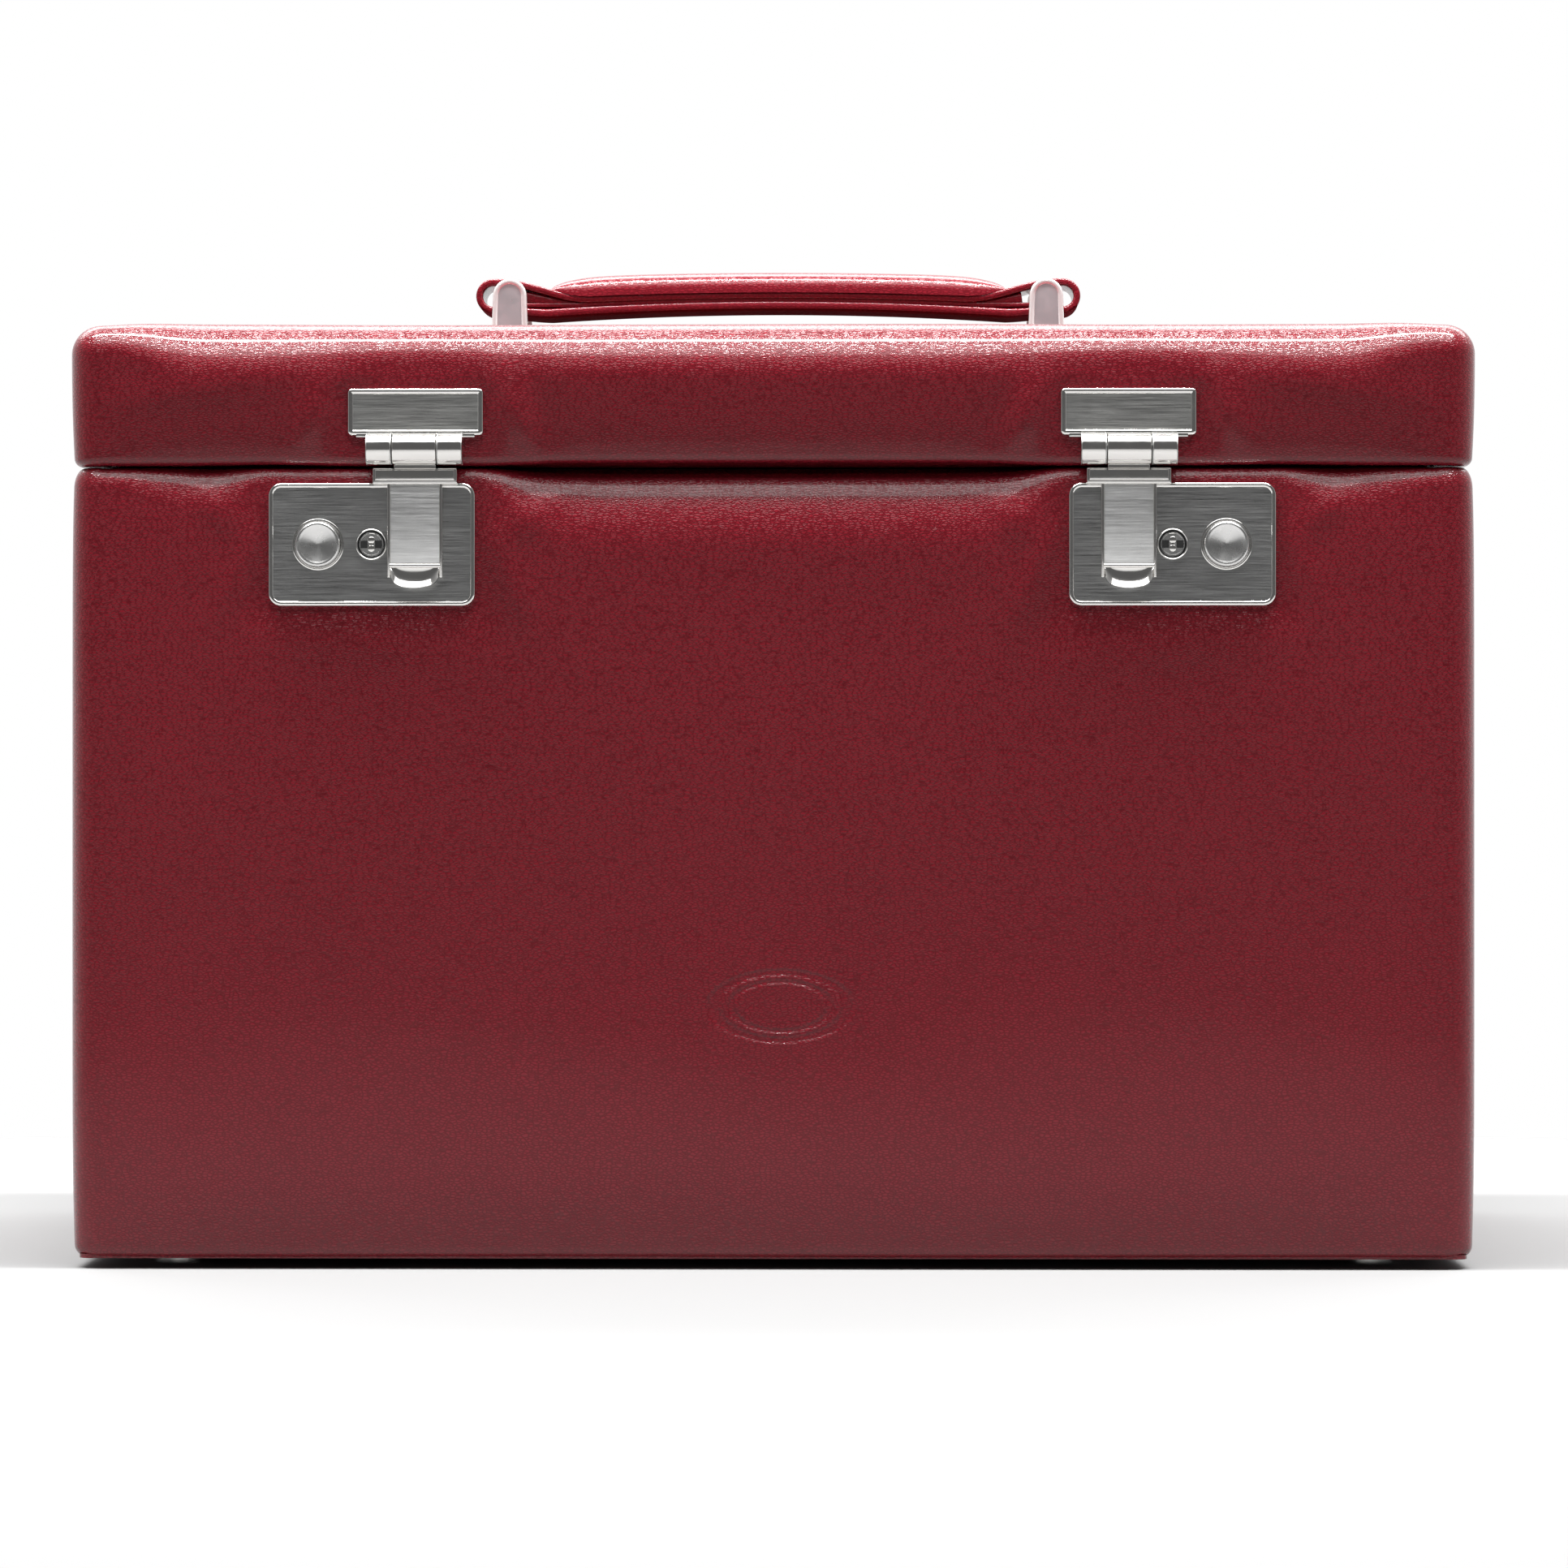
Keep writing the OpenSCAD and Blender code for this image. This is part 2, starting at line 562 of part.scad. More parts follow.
module ring_rolls() color(lining_c)
  for (i = [0 : ring_rolls_n - 1]) translate([0, ty0 + 0.5 + (i + 0.5) * roll_p, 0])
    intersection() {
      cx_(-50, 50, 0, tzu + 6, roll_p / 2 - 0.4);
      box(-60, 60, -20, 20, tzu, tzu + 30);
    }
module lower_tray() color(leather_c) union() {
  tray(tray_half_w, tray_lo_z);
  for (k = [-1, 1], y = [lo_y, lo_y - arm_gap]) {
    box(min(k * tray_half_w, k * (tray_half_w + 1.8)), max(k * tray_half_w, k * (tray_half_w + 1.8)), y - 5, y + 5, tray_lo_z + 6, lo_z);
    stud(k, tray_half_w, tray_half_w + 1.8, y, lo_z, 5);
    stud(k, tray_half_w + 0.5, arm_x - 0.2, y, lo_z, 2.4);
    stud(k, tray_half_w + 0.5, arm_x + arm_t + 0.3, y, lo_z, 1.5);
  }
}
module lower_dividers() color(lining_c) {
  box(-1.5, 1.5, ty0, ty1, tzl, tray_lo_z + tray_h - 3);
  box(-tray_half_w + tray_t, -1.5, -1.5, 1.5, tzl, tray_lo_z + tray_h - 3);
}

base_bottom_board();
base_front_board();
base_back_board();
base_left_board();
base_right_board();
base_padding();
base_cover();
base_bottom_cover();
base_lining();
feet();
compartment_divider();
lid_top_board();
lid_front_board();
lid_back_board();
lid_left_board();
lid_right_board();
lid_padding();
lid_cover();
lid_lining();
mirror_glass();
mirror_frame();
hinge_leaf_base();
hinge_leaf_lid();
hinge_pin();
catch_plate_left();
catch_plate_right();
hasp_pins();
hasp_left();
hasp_right();
lock_plate_left();
lock_plate_right();
lock_case_left();
lock_case_right();
button_left();
button_right();
key_left();
key_right();
bolt_left();
bolt_right();
bracket_left();
bracket_right();
bracket_screws();
handle_pins();
handle_core();
handle_pad();
handle_end_left();
handle_end_right();
arm_pivots();
lid_pivots();
crank_left();
crank_right();
front_arm_left();
front_arm_right();
link_left();
link_right();
upper_tray();
upper_dividers();
ring_rolls();
lower_tray();
lower_dividers();
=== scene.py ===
import bpy
import json
import math
import numpy as np
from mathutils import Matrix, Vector


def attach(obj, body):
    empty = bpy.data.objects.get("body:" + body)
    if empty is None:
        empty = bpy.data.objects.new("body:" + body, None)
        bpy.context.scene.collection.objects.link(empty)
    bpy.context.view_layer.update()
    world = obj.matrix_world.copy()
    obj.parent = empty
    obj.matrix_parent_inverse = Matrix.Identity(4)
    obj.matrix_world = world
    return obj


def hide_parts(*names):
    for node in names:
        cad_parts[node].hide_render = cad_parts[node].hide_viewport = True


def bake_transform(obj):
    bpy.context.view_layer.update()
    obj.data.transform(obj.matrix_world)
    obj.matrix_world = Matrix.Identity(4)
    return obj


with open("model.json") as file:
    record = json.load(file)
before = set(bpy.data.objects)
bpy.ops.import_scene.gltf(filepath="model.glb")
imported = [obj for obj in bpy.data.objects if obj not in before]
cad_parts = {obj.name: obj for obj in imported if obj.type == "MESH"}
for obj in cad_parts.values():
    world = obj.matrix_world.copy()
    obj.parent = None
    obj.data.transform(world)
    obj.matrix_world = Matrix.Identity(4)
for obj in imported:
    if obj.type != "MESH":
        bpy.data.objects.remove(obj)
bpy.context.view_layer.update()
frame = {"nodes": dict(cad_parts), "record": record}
MM = 0.001

# Millimetres in the row frame, unless a line says otherwise.
HW, HD = 170.0, 110.0                           # half width and half depth of the case
SEAM, LID_TOP = 194.5, 228.5                    # heights of the seam under the lid and of the lid's top
LOCK_Z = SEAM - 18.9                            # middle of the lock plates
CATCH_Z = SEAM + 13.2                           # middle of the catch plates
KN_Y, KN_Z = -113.95, SEAM + 4.1                # axis of the hasps
HASP_X, LOCK_X, BUTTON_X = 86.3, 96.9, 109.9    # from the middle plane
STAPLE_Z = LOCK_Z + 5.4
TONGUE_BACK, TONGUE_FRONT = -111.3, -112.9      # Y of the tongue's two faces
CHEEK_Z, BR_X = LID_TOP + 15.1, 69.2            # handle brackets: middle of the arch, and X
COVER_BOTTOM = 2.6                              # height of the leather's lowest edge
TURN_IN = 10.5                                  # how far the leather turns in at an edge
LEAF_X = 141                                    # half width kept flat for the back hinge
ROOM, SWEEP = 0.11, 0.9                         # strength of the world in front of the case and behind it
FLOOR_R, FLOOR_Y, FLOOR_ALBEDO = 0.9, -0.42, 0.26   # metres
CAM_H, CAM_FRAME = 0.1176, 0.3796               # metres: the camera's height, and the width it frames
CAM_AWAY = 1.5                                  # metres from the camera to the middle of its aim


# ---------------------------------------------------------------- materials
class Mat:
    """A principled material whose nodes read object coordinates in millimetres."""

    def __init__(self, name, color, metallic=0.0, rough=0.5, **extra):
        self.m = bpy.data.materials.new(name)
        self.m.use_nodes = True
        self.nt = self.m.node_tree
        self.nt.nodes.clear()
        self.out = self.add("ShaderNodeOutputMaterial")
        self.p = self.add("ShaderNodeBsdfPrincipled")
        self.link(self.p, "BSDF", self.out, "Surface")
        self.p.inputs["Base Color"].default_value = (*color, 1)
        self.p.inputs["Metallic"].default_value = metallic
        self.p.inputs["Roughness"].default_value = rough
        for k, v in extra.items():
            self.p.inputs[k.replace("_", " ")].default_value = v
        self.tc = self.add("ShaderNodeTexCoord")

    def add(self, kind, **props):
        n = self.nt.nodes.new(kind)
        for k, v in props.items():
            setattr(n, k, v)
        return n

    def link(self, a, ao, b, bi):
        self.nt.links.new(a.outputs[ao], b.inputs[bi])

    def coords(self, scale=(1, 1, 1), source=None):
        mp = self.add("ShaderNodeMapping")
        mp.inputs["Scale"].default_value = tuple(1000.0 * s for s in scale)
        if source is None:
            self.link(self.tc, "Object", mp, "Vector")
        else:
            self.link(source[0], source[1], mp, "Vector")
        return mp

    def noise(self, scale, detail=3.0, rough=0.55, stretch=(1, 1, 1), source=None):
        n = self.add("ShaderNodeTexNoise")
        n.inputs["Scale"].default_value = scale
        n.inputs["Detail"].default_value = detail
        n.inputs["Roughness"].default_value = rough
        self.link(self.coords(stretch, source), "Vector", n, "Vector")
        return n

    def math(self, op, a, b=None, clamp=False):
        n = self.add("ShaderNodeMath", operation=op, use_clamp=clamp)
        for i, v in enumerate((a, b)):
            if v is None:
                continue
            if isinstance(v, tuple):
                self.nt.links.new(v[0].outputs[v[1]], n.inputs[i])
            else:
                n.inputs[i].default_value = v
        return (n, "Value")

    def remap(self, src, a, b, c, d):
        n = self.add("ShaderNodeMapRange")
        n.inputs["From Min"].default_value = a
        n.inputs["From Max"].default_value = b
        n.inputs["To Min"].default_value = c
        n.inputs["To Max"].default_value = d
        self.nt.links.new(src[0].outputs[src[1]], n.inputs["Value"])
        return (n, "Result")

    def mix(self, fac, c1, c2):
        n = self.add("ShaderNodeMixRGB")
        n.inputs["Color1"].default_value = (*c1, 1)
        n.inputs["Color2"].default_value = (*c2, 1)
        self.nt.links.new(fac[0].outputs[fac[1]], n.inputs["Fac"])
        return n

    def bump(self, height, strength, distance, before=None):
        b = self.add("ShaderNodeBump")
        b.inputs["Strength"].default_value = strength
        b.inputs["Distance"].default_value = distance
        self.nt.links.new(height[0].outputs[height[1]], b.inputs["Height"])
        if before is not None:
            self.link(before, "Normal", b, "Normal")
        return b


def leather(name, deep, light, rough=0.14, grain=1.0, stamp=False, gloss=0.30, coat=0.34):
    m = Mat(name, light, rough=rough, Specular_IOR_Level=gloss,
            Coat_Weight=coat, Coat_Roughness=0.075)
    # grain: warped cells about 1.2 mm across and 0.6 mm high, with fine pores over them
    warp = m.noise(0.35, 2.0)
    mixv = m.add("ShaderNodeMixRGB", blend_type="ADD")
    mixv.inputs["Fac"].default_value = 1.0
    sc = m.add("ShaderNodeVectorMath", operation="SCALE")
    sc.inputs["Scale"].default_value = 0.0006
    m.link(warp, "Color", sc, 0)
    m.link(m.tc, "Object", mixv, "Color1")
    m.link(sc, "Vector", mixv, "Color2")
    cells = m.add("ShaderNodeTexVoronoi", feature="DISTANCE_TO_EDGE")
    cells.inputs["Scale"].default_value = 1.0
    m.link(m.coords((0.8, 0.8, 1.75), (mixv, "Color")), "Vector", cells, "Vector")
    ridge = m.remap((cells, "Distance"), 0.0, 0.28, 0.0, 1.0)
    fine = m.noise(3.2, 3.0, 0.65)
    soft = m.noise(0.06, 3.0)
    h = m.math("ADD", ridge, m.math("MULTIPLY", (fine, "Fac"), 0.55))
    b = m.bump(h, 1.0 * grain, 0.00005)
    b = m.bump((soft, "Fac"), 0.06, 0.0009, b)
    if stamp:
        # two plain oval rings, one inside the other, pressed into the front
        sep = m.add("ShaderNodeSeparateXYZ")
        m.link(m.tc, "Object", sep, "Vector")
        ex = m.math("DIVIDE", m.math("SUBTRACT", (sep, "X"), 0.0022), 0.0175)
        ez = m.math("DIVIDE", m.math("SUBTRACT", (sep, "Z"), 0.0638), 0.0088)
        r = m.math("SQRT", m.math("ADD", m.math("MULTIPLY", ex, ex), m.math("MULTIPLY", ez, ez)))

        def groove(at, near, far):
            off = m.math("ABSOLUTE", m.math("SUBTRACT", r, at))
            return m.math("SUBTRACT", m.remap(off, near, far, 1.0, 0.0), 0.0, True)

        ring = groove(0.93, 0.05, 0.12)
        inner = groove(0.68, 0.02, 0.08)
        front = m.remap((sep, "Y"), -0.1055, -0.1035, 1.0, 0.0)
        press = m.math("MULTIPLY", m.math("MAXIMUM", ring, inner), m.math("MULTIPLY", front, -1.0))
        b = m.bump(press, 0.5, 0.0006, b)
    m.link(b, "Normal", m.p, "Normal")
    tone = m.math("ADD", m.math("MULTIPLY", ridge, 0.82), m.math("MULTIPLY", (soft, "Fac"), 0.14), True)
    col = m.mix(tone, deep, light)
    m.link(col, "Color", m.p, "Base Color")
    worn = m.noise(0.035, 4.0)
    rr = m.math("ADD", m.remap((worn, "Fac"), 0.35, 0.7, rough - 0.03, rough + 0.03),
                m.math("MULTIPLY", (fine, "Fac"), 0.08))
    m.link(rr[0], "Value", m.p, "Roughness")
    return m.m


def brushed(name, color, along="X", rough=0.3, depth=0.35, pitch=2.0, low=0.62, high=1.18):
    m = Mat(name, color, metallic=1.0, rough=rough)
    st = {"X": (0.07, pitch, pitch), "Z": (pitch, pitch, 0.07)}[along]
    lines = m.noise(1.0, 6.0, 0.75, st)
    patch = m.noise(0.12, 3.0)
    streak = m.remap((lines, "Fac"), 0.34, 0.66, 0.0, 0.85)
    tone = m.math("ADD", streak, m.remap((patch, "Fac"), 0.35, 0.65, 0.0, 0.15), True)
    col = m.mix(tone, tuple(c * low for c in color), tuple(min(1, c * high) for c in color))
    m.link(col, "Color", m.p, "Base Color")
    rr = m.remap((lines, "Fac"), 0.3, 0.7, rough - 0.07, rough + 0.12)
    m.link(rr[0], rr[1], m.p, "Roughness")
    m.link(m.bump((lines, "Fac"), depth, 0.00004), "Normal", m.p, "Normal")
    return m.m


def polished(name, color, rough=0.1, metallic=1.0):
    m = Mat(name, color, metallic=metallic, rough=rough)
    haze = m.noise(0.25, 4.0)
    scr = m.noise(1.6, 5.0, 0.7)
    rr = m.remap((haze, "Fac"), 0.3, 0.75, rough - 0.03, rough + 0.07)
    m.link(rr[0], rr[1], m.p, "Roughness")
    m.link(m.bump((scr, "Fac"), 0.08, 0.00003), "Normal", m.p, "Normal")
    return m.m


def cloth(name, deep, light, rough=0.85, pile=1.0):
    m = Mat(name, light, rough=rough, Sheen_Weight=0.45, Sheen_Roughness=0.4)
    nap = m.noise(1.9, 5.0, 0.7)
    brush = m.noise(0.045, 3.0)
    tone = m.math("ADD", m.math("MULTIPLY", (nap, "Fac"), 0.5), m.math("MULTIPLY", (brush, "Fac"), 0.6), True)
    m.link(m.mix(tone, deep, light), "Color", m.p, "Base Color")
    m.link(m.bump((nap, "Fac"), 0.4 * pile, 0.00025), "Normal", m.p, "Normal")
    return m.m


RED = leather("leather", (0.100, 0.0042, 0.0085), (0.200, 0.0092, 0.0175), stamp=True)
RED_STRAP = leather("leather_strap", (0.125, 0.0060, 0.0115), (0.235, 0.0120, 0.0225), rough=0.13, grain=0.7)
BRUSHED = brushed("nickel_brushed", (0.39, 0.39, 0.385), rough=0.33, pitch=3.2, low=0.70, high=1.2)
# the catch plate's and the tongue's copies are the lock plate's brushed nickel painted lighter, the tongue's
# near-white as painted highlight
BRUSHED_C_PAINTED_LIGHT = brushed("nickel_brushed_catch_painted_lighter", (0.48, 0.48, 0.465), rough=0.36, pitch=3.2, low=0.68, high=1.2)
BRUSHED_T_PAINTED_LIGHT = brushed("nickel_brushed_tongue_painted_highlight", (0.97, 0.97, 0.96), rough=0.38, depth=1.0, pitch=2.6,
                    low=0.72, high=1.03)
# the brackets' recessed panel: satin nickel, with a fifth of near-white diffuse mixed in as painted
# reflection
PANEL_PART_GLARE = polished("nickel_panel_part_painted_reflection", (0.90, 0.90, 0.92), 0.3, 0.8)
# half metallic, so its near-white base shows on the bracket rims as painted reflection
GLARE_NICKEL = polished("nickel_painted_reflection", (0.94, 0.94, 0.92), 0.3, 0.45)
NICKEL = polished("nickel_polished", (0.80, 0.785, 0.76), 0.12)
# matte flesh side at about half the strap's colour: the darkening is painted shade on faces that look down
UNDERSIDE_SHADED = leather("leather_underside_painted_shade", (0.060, 0.0030, 0.0060), (0.110, 0.0060, 0.0110), rough=0.8,
                gloss=0.02, coat=0.0)
SATIN = polished("nickel_satin", (0.74, 0.735, 0.725), 0.25)
STEEL = polished("steel", (0.62, 0.62, 0.63), 0.24)
# near-black, put in the key cylinder's gap and slots as painted shade
SHADE_BLACK = Mat("painted_shade_black", (0.01, 0.01, 0.01), rough=0.6).m
SUEDE = cloth("suede_lining", (0.24, 0.17, 0.12), (0.37, 0.285, 0.215))
FOAM = cloth("padding", (0.34, 0.27, 0.21), (0.46, 0.38, 0.30), 0.9, 0.6)
MIRROR = Mat("mirror", (0.9, 0.92, 0.93), metallic=1.0, rough=0.02).m
wood = Mat("board", (0.42, 0.28, 0.16), rough=0.7)
figure = wood.noise(0.35, 4.0, 0.6, (0.12, 1, 1))
wood.link(wood.mix((figure, "Fac"), (0.33, 0.21, 0.12), (0.50, 0.36, 0.22)), "Color", wood.p, "Base Color")
WOOD = wood.m


# ---------------------------------------------------------------- mesh helpers
def mesh(name, verts, faces, mat, body, smooth=True):
    """Vertices in millimetres in the row frame."""
    me = bpy.data.meshes.new(name)
    me.from_pydata([tuple(float(c) * MM for c in v) for v in verts], [], faces)
    me.update()
    me.materials.append(mat)
    if smooth:
        me.polygons.foreach_set("use_smooth", [True] * len(me.polygons))
    o = bpy.data.objects.new(name, me)
    bpy.context.scene.collection.objects.link(o)
    if body:
        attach(o, body)
    return o


def grid_faces(nr, nc, wrap):
    f = []
    for i in range(nr - 1):
        for j in range(nc if wrap else nc - 1):
            k = (j + 1) % nc
            f.append((i * nc + j, i * nc + k, (i + 1) * nc + k, (i + 1) * nc + j))
    return f


def bevelled(o, width, segments=3):
    b = o.modifiers.new("bevel", "BEVEL")
    b.width = width * MM
    b.segments = segments
    b.limit_method = "ANGLE"
    b.angle_limit = math.radians(35)
    bpy.context.view_layer.update()
    dg = bpy.context.evaluated_depsgraph_get()
    me = bpy.data.meshes.new_from_object(o.evaluated_get(dg))
    o.modifiers.clear()
    o.data = me
    me.polygons.foreach_set("use_smooth", [True] * len(me.polygons))
    me.set_sharp_from_angle(angle=math.radians(32))
    return o


def rbox(name, x0, x1, y0, y1, z0, z1, mat, body, bev=0.2, seg=2):
    v = [(x, y, z) for x in (x0, x1) for y in (y0, y1) for z in (z0, z1)]
    f = [(0, 1, 3, 2), (4, 6, 7, 5), (0, 4, 5, 1), (2, 3, 7, 6), (0, 2, 6, 4), (1, 5, 7, 3)]
    return bevelled(mesh(name, v, f, mat, body, False), bev, seg)


def lathe_y(name, x, z, prof, mat, body, n=72, ring=False):
    """prof: (radius, y) points revolved round the line along Y through x, z.

    A ring joins its last point to its first; anything else is closed by a face at each end.
    """
    v = []
    for r, y in prof:
        for k in range(n):
            a = 2 * math.pi * k / n
            v.append((x + r * math.cos(a), y, z + r * math.sin(a)))
    f = grid_faces(len(prof), n, True)
    top = (len(prof) - 1) * n
    if ring:
        f += [(top + k, top + (k + 1) % n, (k + 1) % n, k) for k in range(n)]
    else:
        f.append(tuple(range(n - 1, -1, -1)))
        f.append(tuple(top + k for k in range(n)))
    o = mesh(name, v, f, mat, body)
    o.data.set_sharp_from_angle(angle=math.radians(40))
    return o


def cyl_x(name, x0, x1, y, z, r, mat, body, bev=0.35, n=48):
    """A cylinder along X from x0 to x1, with rounded edges."""
    turn = np.linspace(0.3, math.pi / 2, 4)
    prof = [(0.05, x0), (r - bev, x0)]
    prof += [(r - bev + bev * math.sin(a), x0 + bev - bev * math.cos(a)) for a in turn]
    prof += [(r - bev + bev * math.sin(a), x1 - bev + bev * math.cos(a)) for a in turn[::-1]]
    prof += [(r - bev, x1), (0.05, x1)]
    v = []
    for radius, at in prof:
        for k in range(n):
            a = 2 * math.pi * k / n
            v.append((at, y + radius * math.cos(a), z + radius * math.sin(a)))
    o = mesh(name, v, grid_faces(len(prof), n, True), mat, body)
    o.data.set_sharp_from_angle(angle=math.radians(50))
    return o


def rr_loop(w, h, r, n=8):
    """Outline of a rectangle with rounded corners."""
    ax, az = w / 2 - r, h / 2 - r
    pts = []
    for cx, cz, start in ((ax, az, 0), (-ax, az, 90), (-ax, -az, 180), (ax, -az, 270)):
        for k in range(n + 1):
            a = math.radians(start + 90 * k / n)
            pts.append((cx + r * math.cos(a), cz + r * math.sin(a)))
    return pts


def rim(name, x, z, w, h, r, rows, mat, body):
    """Ring of rounded rectangles: rows of (inset, y)."""
    v = []
    for inset, y in rows:
        loop = rr_loop(w - 2 * inset, h - 2 * inset, max(r - inset, 0.15))
        v += [(x + a, y, z + b) for a, b in loop]
    n = len(loop)
    o = mesh(name, v, grid_faces(len(rows), n, True), mat, body)
    o.data.set_sharp_from_angle(angle=math.radians(55))
    return o


def smooth01(t):
    t = np.clip(t, 0, 1)
    return t * t * (3 - 2 * t)


# ---------------------------------------------------------------- padded leather
def columns(step=2.0, nc=8):
    """Points round the case, starting at the right end of the back.

    Each is a side, a position along it from -1 to 1, and on a corner a share of its turn.
    """
    cols = []
    across, along = int(2 * HW / step), int(2 * HD / step)
    for s, n in (("back", across), ("left", along), ("front", across), ("right", along)):
        for k in range(n):
            cols.append((s, -1 + 2 * k / n, 0.0))
        for k in range(nc):
            cols.append(("c_" + s, 1.0, k / nc))
    return cols


COLS = columns()
NCOL = len(COLS)
C_SIDE = np.array([c[0] for c in COLS])
C_T = np.array([c[1] for c in COLS])
C_A = np.array([c[2] for c in COLS])


def loop(d_corner, d_col, z_col, r_corner=7.5):
    """One closed loop at an inset.

    d_col and z_col hold a value for each column; on corners the inset is d_corner.
    """
    rc = max(r_corner - d_corner, 0.8)
    ax, ay = HW - d_corner - rc, HD - d_corner - rc
    P = np.zeros((NCOL, 3))
    P[:, 2] = z_col
    s = C_SIDE
    m = s == "back"
    P[m, 0], P[m, 1] = -C_T[m] * ax, (HD - d_col[m])
    m = s == "left"
    P[m, 0], P[m, 1] = -(HW - d_col[m]), -C_T[m] * ay
    m = s == "front"
    P[m, 0], P[m, 1] = C_T[m] * ax, -(HD - d_col[m])
    m = s == "right"
    P[m, 0], P[m, 1] = (HW - d_col[m]), C_T[m] * ay
    for side, cx, cy, start in (("c_back", -ax, ay, 90), ("c_left", -ax, -ay, 180),
                                ("c_front", ax, -ay, 270), ("c_right", ax, ay, 0)):
        m = s == side
        a = np.radians(start + 90 * C_A[m])
        P[m, 0], P[m, 1] = cx + rc * np.cos(a), cy + rc * np.sin(a)
    return P


def normals(P):
    du = np.roll(P, -1, 1) - np.roll(P, 1, 1)
    dv = np.zeros_like(P)
    dv[1:-1] = P[2:] - P[:-2]
    dv[0], dv[-1] = P[1] - P[0], P[-1] - P[-2]
    n = np.cross(du, dv)
    ln = np.linalg.norm(n, axis=2, keepdims=True)
    return n / np.maximum(ln, 1e-9)


def membrane(P, target, fixed, value, reach, rounds=420):
    """Heights of the leather over P: a stretched skin on a soft bed.

    It is held down at the fixed points, and the padding pushes it up to target.
    """
    du = np.maximum(np.linalg.norm(np.roll(P, -1, 1) - P, axis=2), 0.35)
    dv = np.full(P.shape[:2], 1.0)
    dv[:-1] = np.maximum(np.linalg.norm(P[1:] - P[:-1], axis=2), 0.35)
    wr, wl = 1 / du ** 2, 1 / np.roll(du, 1, 1) ** 2
    wu, wd = 1 / dv ** 2, 1 / np.roll(dv, 1, 0) ** 2
    wu[-1], wd[0] = 0, 0
    k = 1 / np.asarray(reach) ** 2
    h = np.where(fixed, value, target)
    den = wr + wl + wu + wd + k
    for _ in range(rounds):
        up = np.vstack([h[1:], h[-1:]])
        dn = np.vstack([h[:1], h[:-1]])
        g = (wr * np.roll(h, -1, 1) + wl * np.roll(h, 1, 1) + wu * up + wd * dn + k * target) / den
        h = np.where(fixed, value, g)
    return h


def fold(X, Z, x0, z0, ang, length, width, amp):
    """Height of one soft fold through x0, z0, at an angle in degrees."""
    c, s = math.cos(math.radians(ang)), math.sin(math.radians(ang))
    u = (X - x0) * c + (Z - z0) * s
    v = -(X - x0) * s + (Z - z0) * c
    return amp * np.exp(-(v / width) ** 2) * np.exp(-(u / length) ** 2)


def corner_distance():
    """Distance of each column from the nearest upright corner, in millimetres."""
    half = np.where((C_SIDE == "front") | (C_SIDE == "back"), HW, HD)
    d = (1 - np.abs(C_T)) * half
    return np.where(np.char.startswith(C_SIDE.astype(str), "c_"), 0.0, d)


CD = corner_distance()
X0 = loop(0, np.zeros(NCOL), 0)[:, 0]
FRONT = C_SIDE == "front"
BACK = C_SIDE == "back"
SIDEW = (C_SIDE == "left") | (C_SIDE == "right")


def finish_cover(name, P, H, body, replaced, mat):
    N = normals(P)
    Q = P + N * H[..., None]
    o = mesh(name, Q.reshape(-1, 3), grid_faces(P.shape[0], NCOL, True), mat, body)
    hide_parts(*replaced)
    return o


# lower part
near_lock = np.exp(-(np.maximum(np.abs(np.abs(X0) - LOCK_X) - 24, 0) / 13) ** 2) * FRONT
top_len = 5 + 14 * smooth01(CD / 34)
top_len = np.where(FRONT, 4 + (top_len - 4) * (1 - near_lock), top_len)
top_len = np.where(FRONT & (np.abs(X0) > LOCK_X), 4 + (top_len - 4) * 0.72, top_len)
top_len = np.where(BACK, 3.2, top_len)
top_in = np.clip(2.6 + 4.4 * (top_len - 3) / 16, 2.6, 7.0)
dip = 0.15 + 1.0 * smooth01(CD / 90) * (1 - near_lock)
z_top = 194.35 - np.where(FRONT, dip, 0.35 * smooth01(CD / 40))
rows = []
for d in (TURN_IN, 6.0, 3.0):
    rows.append(loop(d, np.full(NCOL, d), np.full(NCOL, COVER_BOTTOM)))
for a in np.radians((15, 30, 45, 60, 75, 90)):
    d = 3 * (1 - math.sin(a))
    rows.append(loop(d, np.full(NCOL, d), np.full(NCOL, COVER_BOTTOM + 3 * (1 - math.cos(a)))))
NW = 76
for k in range(1, NW + 1):
    foot_z = COVER_BOTTOM + 3
    rows.append(loop(0, np.zeros(NCOL), foot_z + (z_top - top_len - foot_z) * k / NW))
for a in np.radians(np.linspace(6, 90, 15)):
    d = top_in * (1 - math.cos(a))
    rows.append(loop(2.6 * (1 - math.cos(a)), d, z_top - top_len * (1 - math.sin(a))))
last = top_in.copy()
for k in (1, 2, 3, 4):
    rise = smooth01(k / 4)
    rows.append(loop(2.6 + (10.6 - 2.6) * k / 4, last + (10.6 - last) * k / 4,
                     z_top * (1 - rise) + 194.4 * rise))
P = np.array(rows)
XX, YY, ZZ = P[..., 0], P[..., 1], P[..., 2]
F2 = np.broadcast_to(FRONT, XX.shape)
B2 = np.broadcast_to(BACK, XX.shape)
target = np.where(F2, 1.25, 1.7) * smooth01((np.broadcast_to(CD, XX.shape) + 2) / 16)
target = target * smooth01((ZZ - 3) / 14)
target = target * np.where(ZZ > 189, smooth01((194.6 - ZZ) / 6), 1)
front_roll = np.exp(-((ZZ - 183) / 12) ** 2) * (1 - near_lock)[None, :] * smooth01(CD / 26)[None, :]
target = target + 0.9 * F2 * front_roll
plate = F2 & (np.abs(np.abs(XX) - LOCK_X) < 25.6) & (np.abs(ZZ - LOCK_Z) < 15.4)
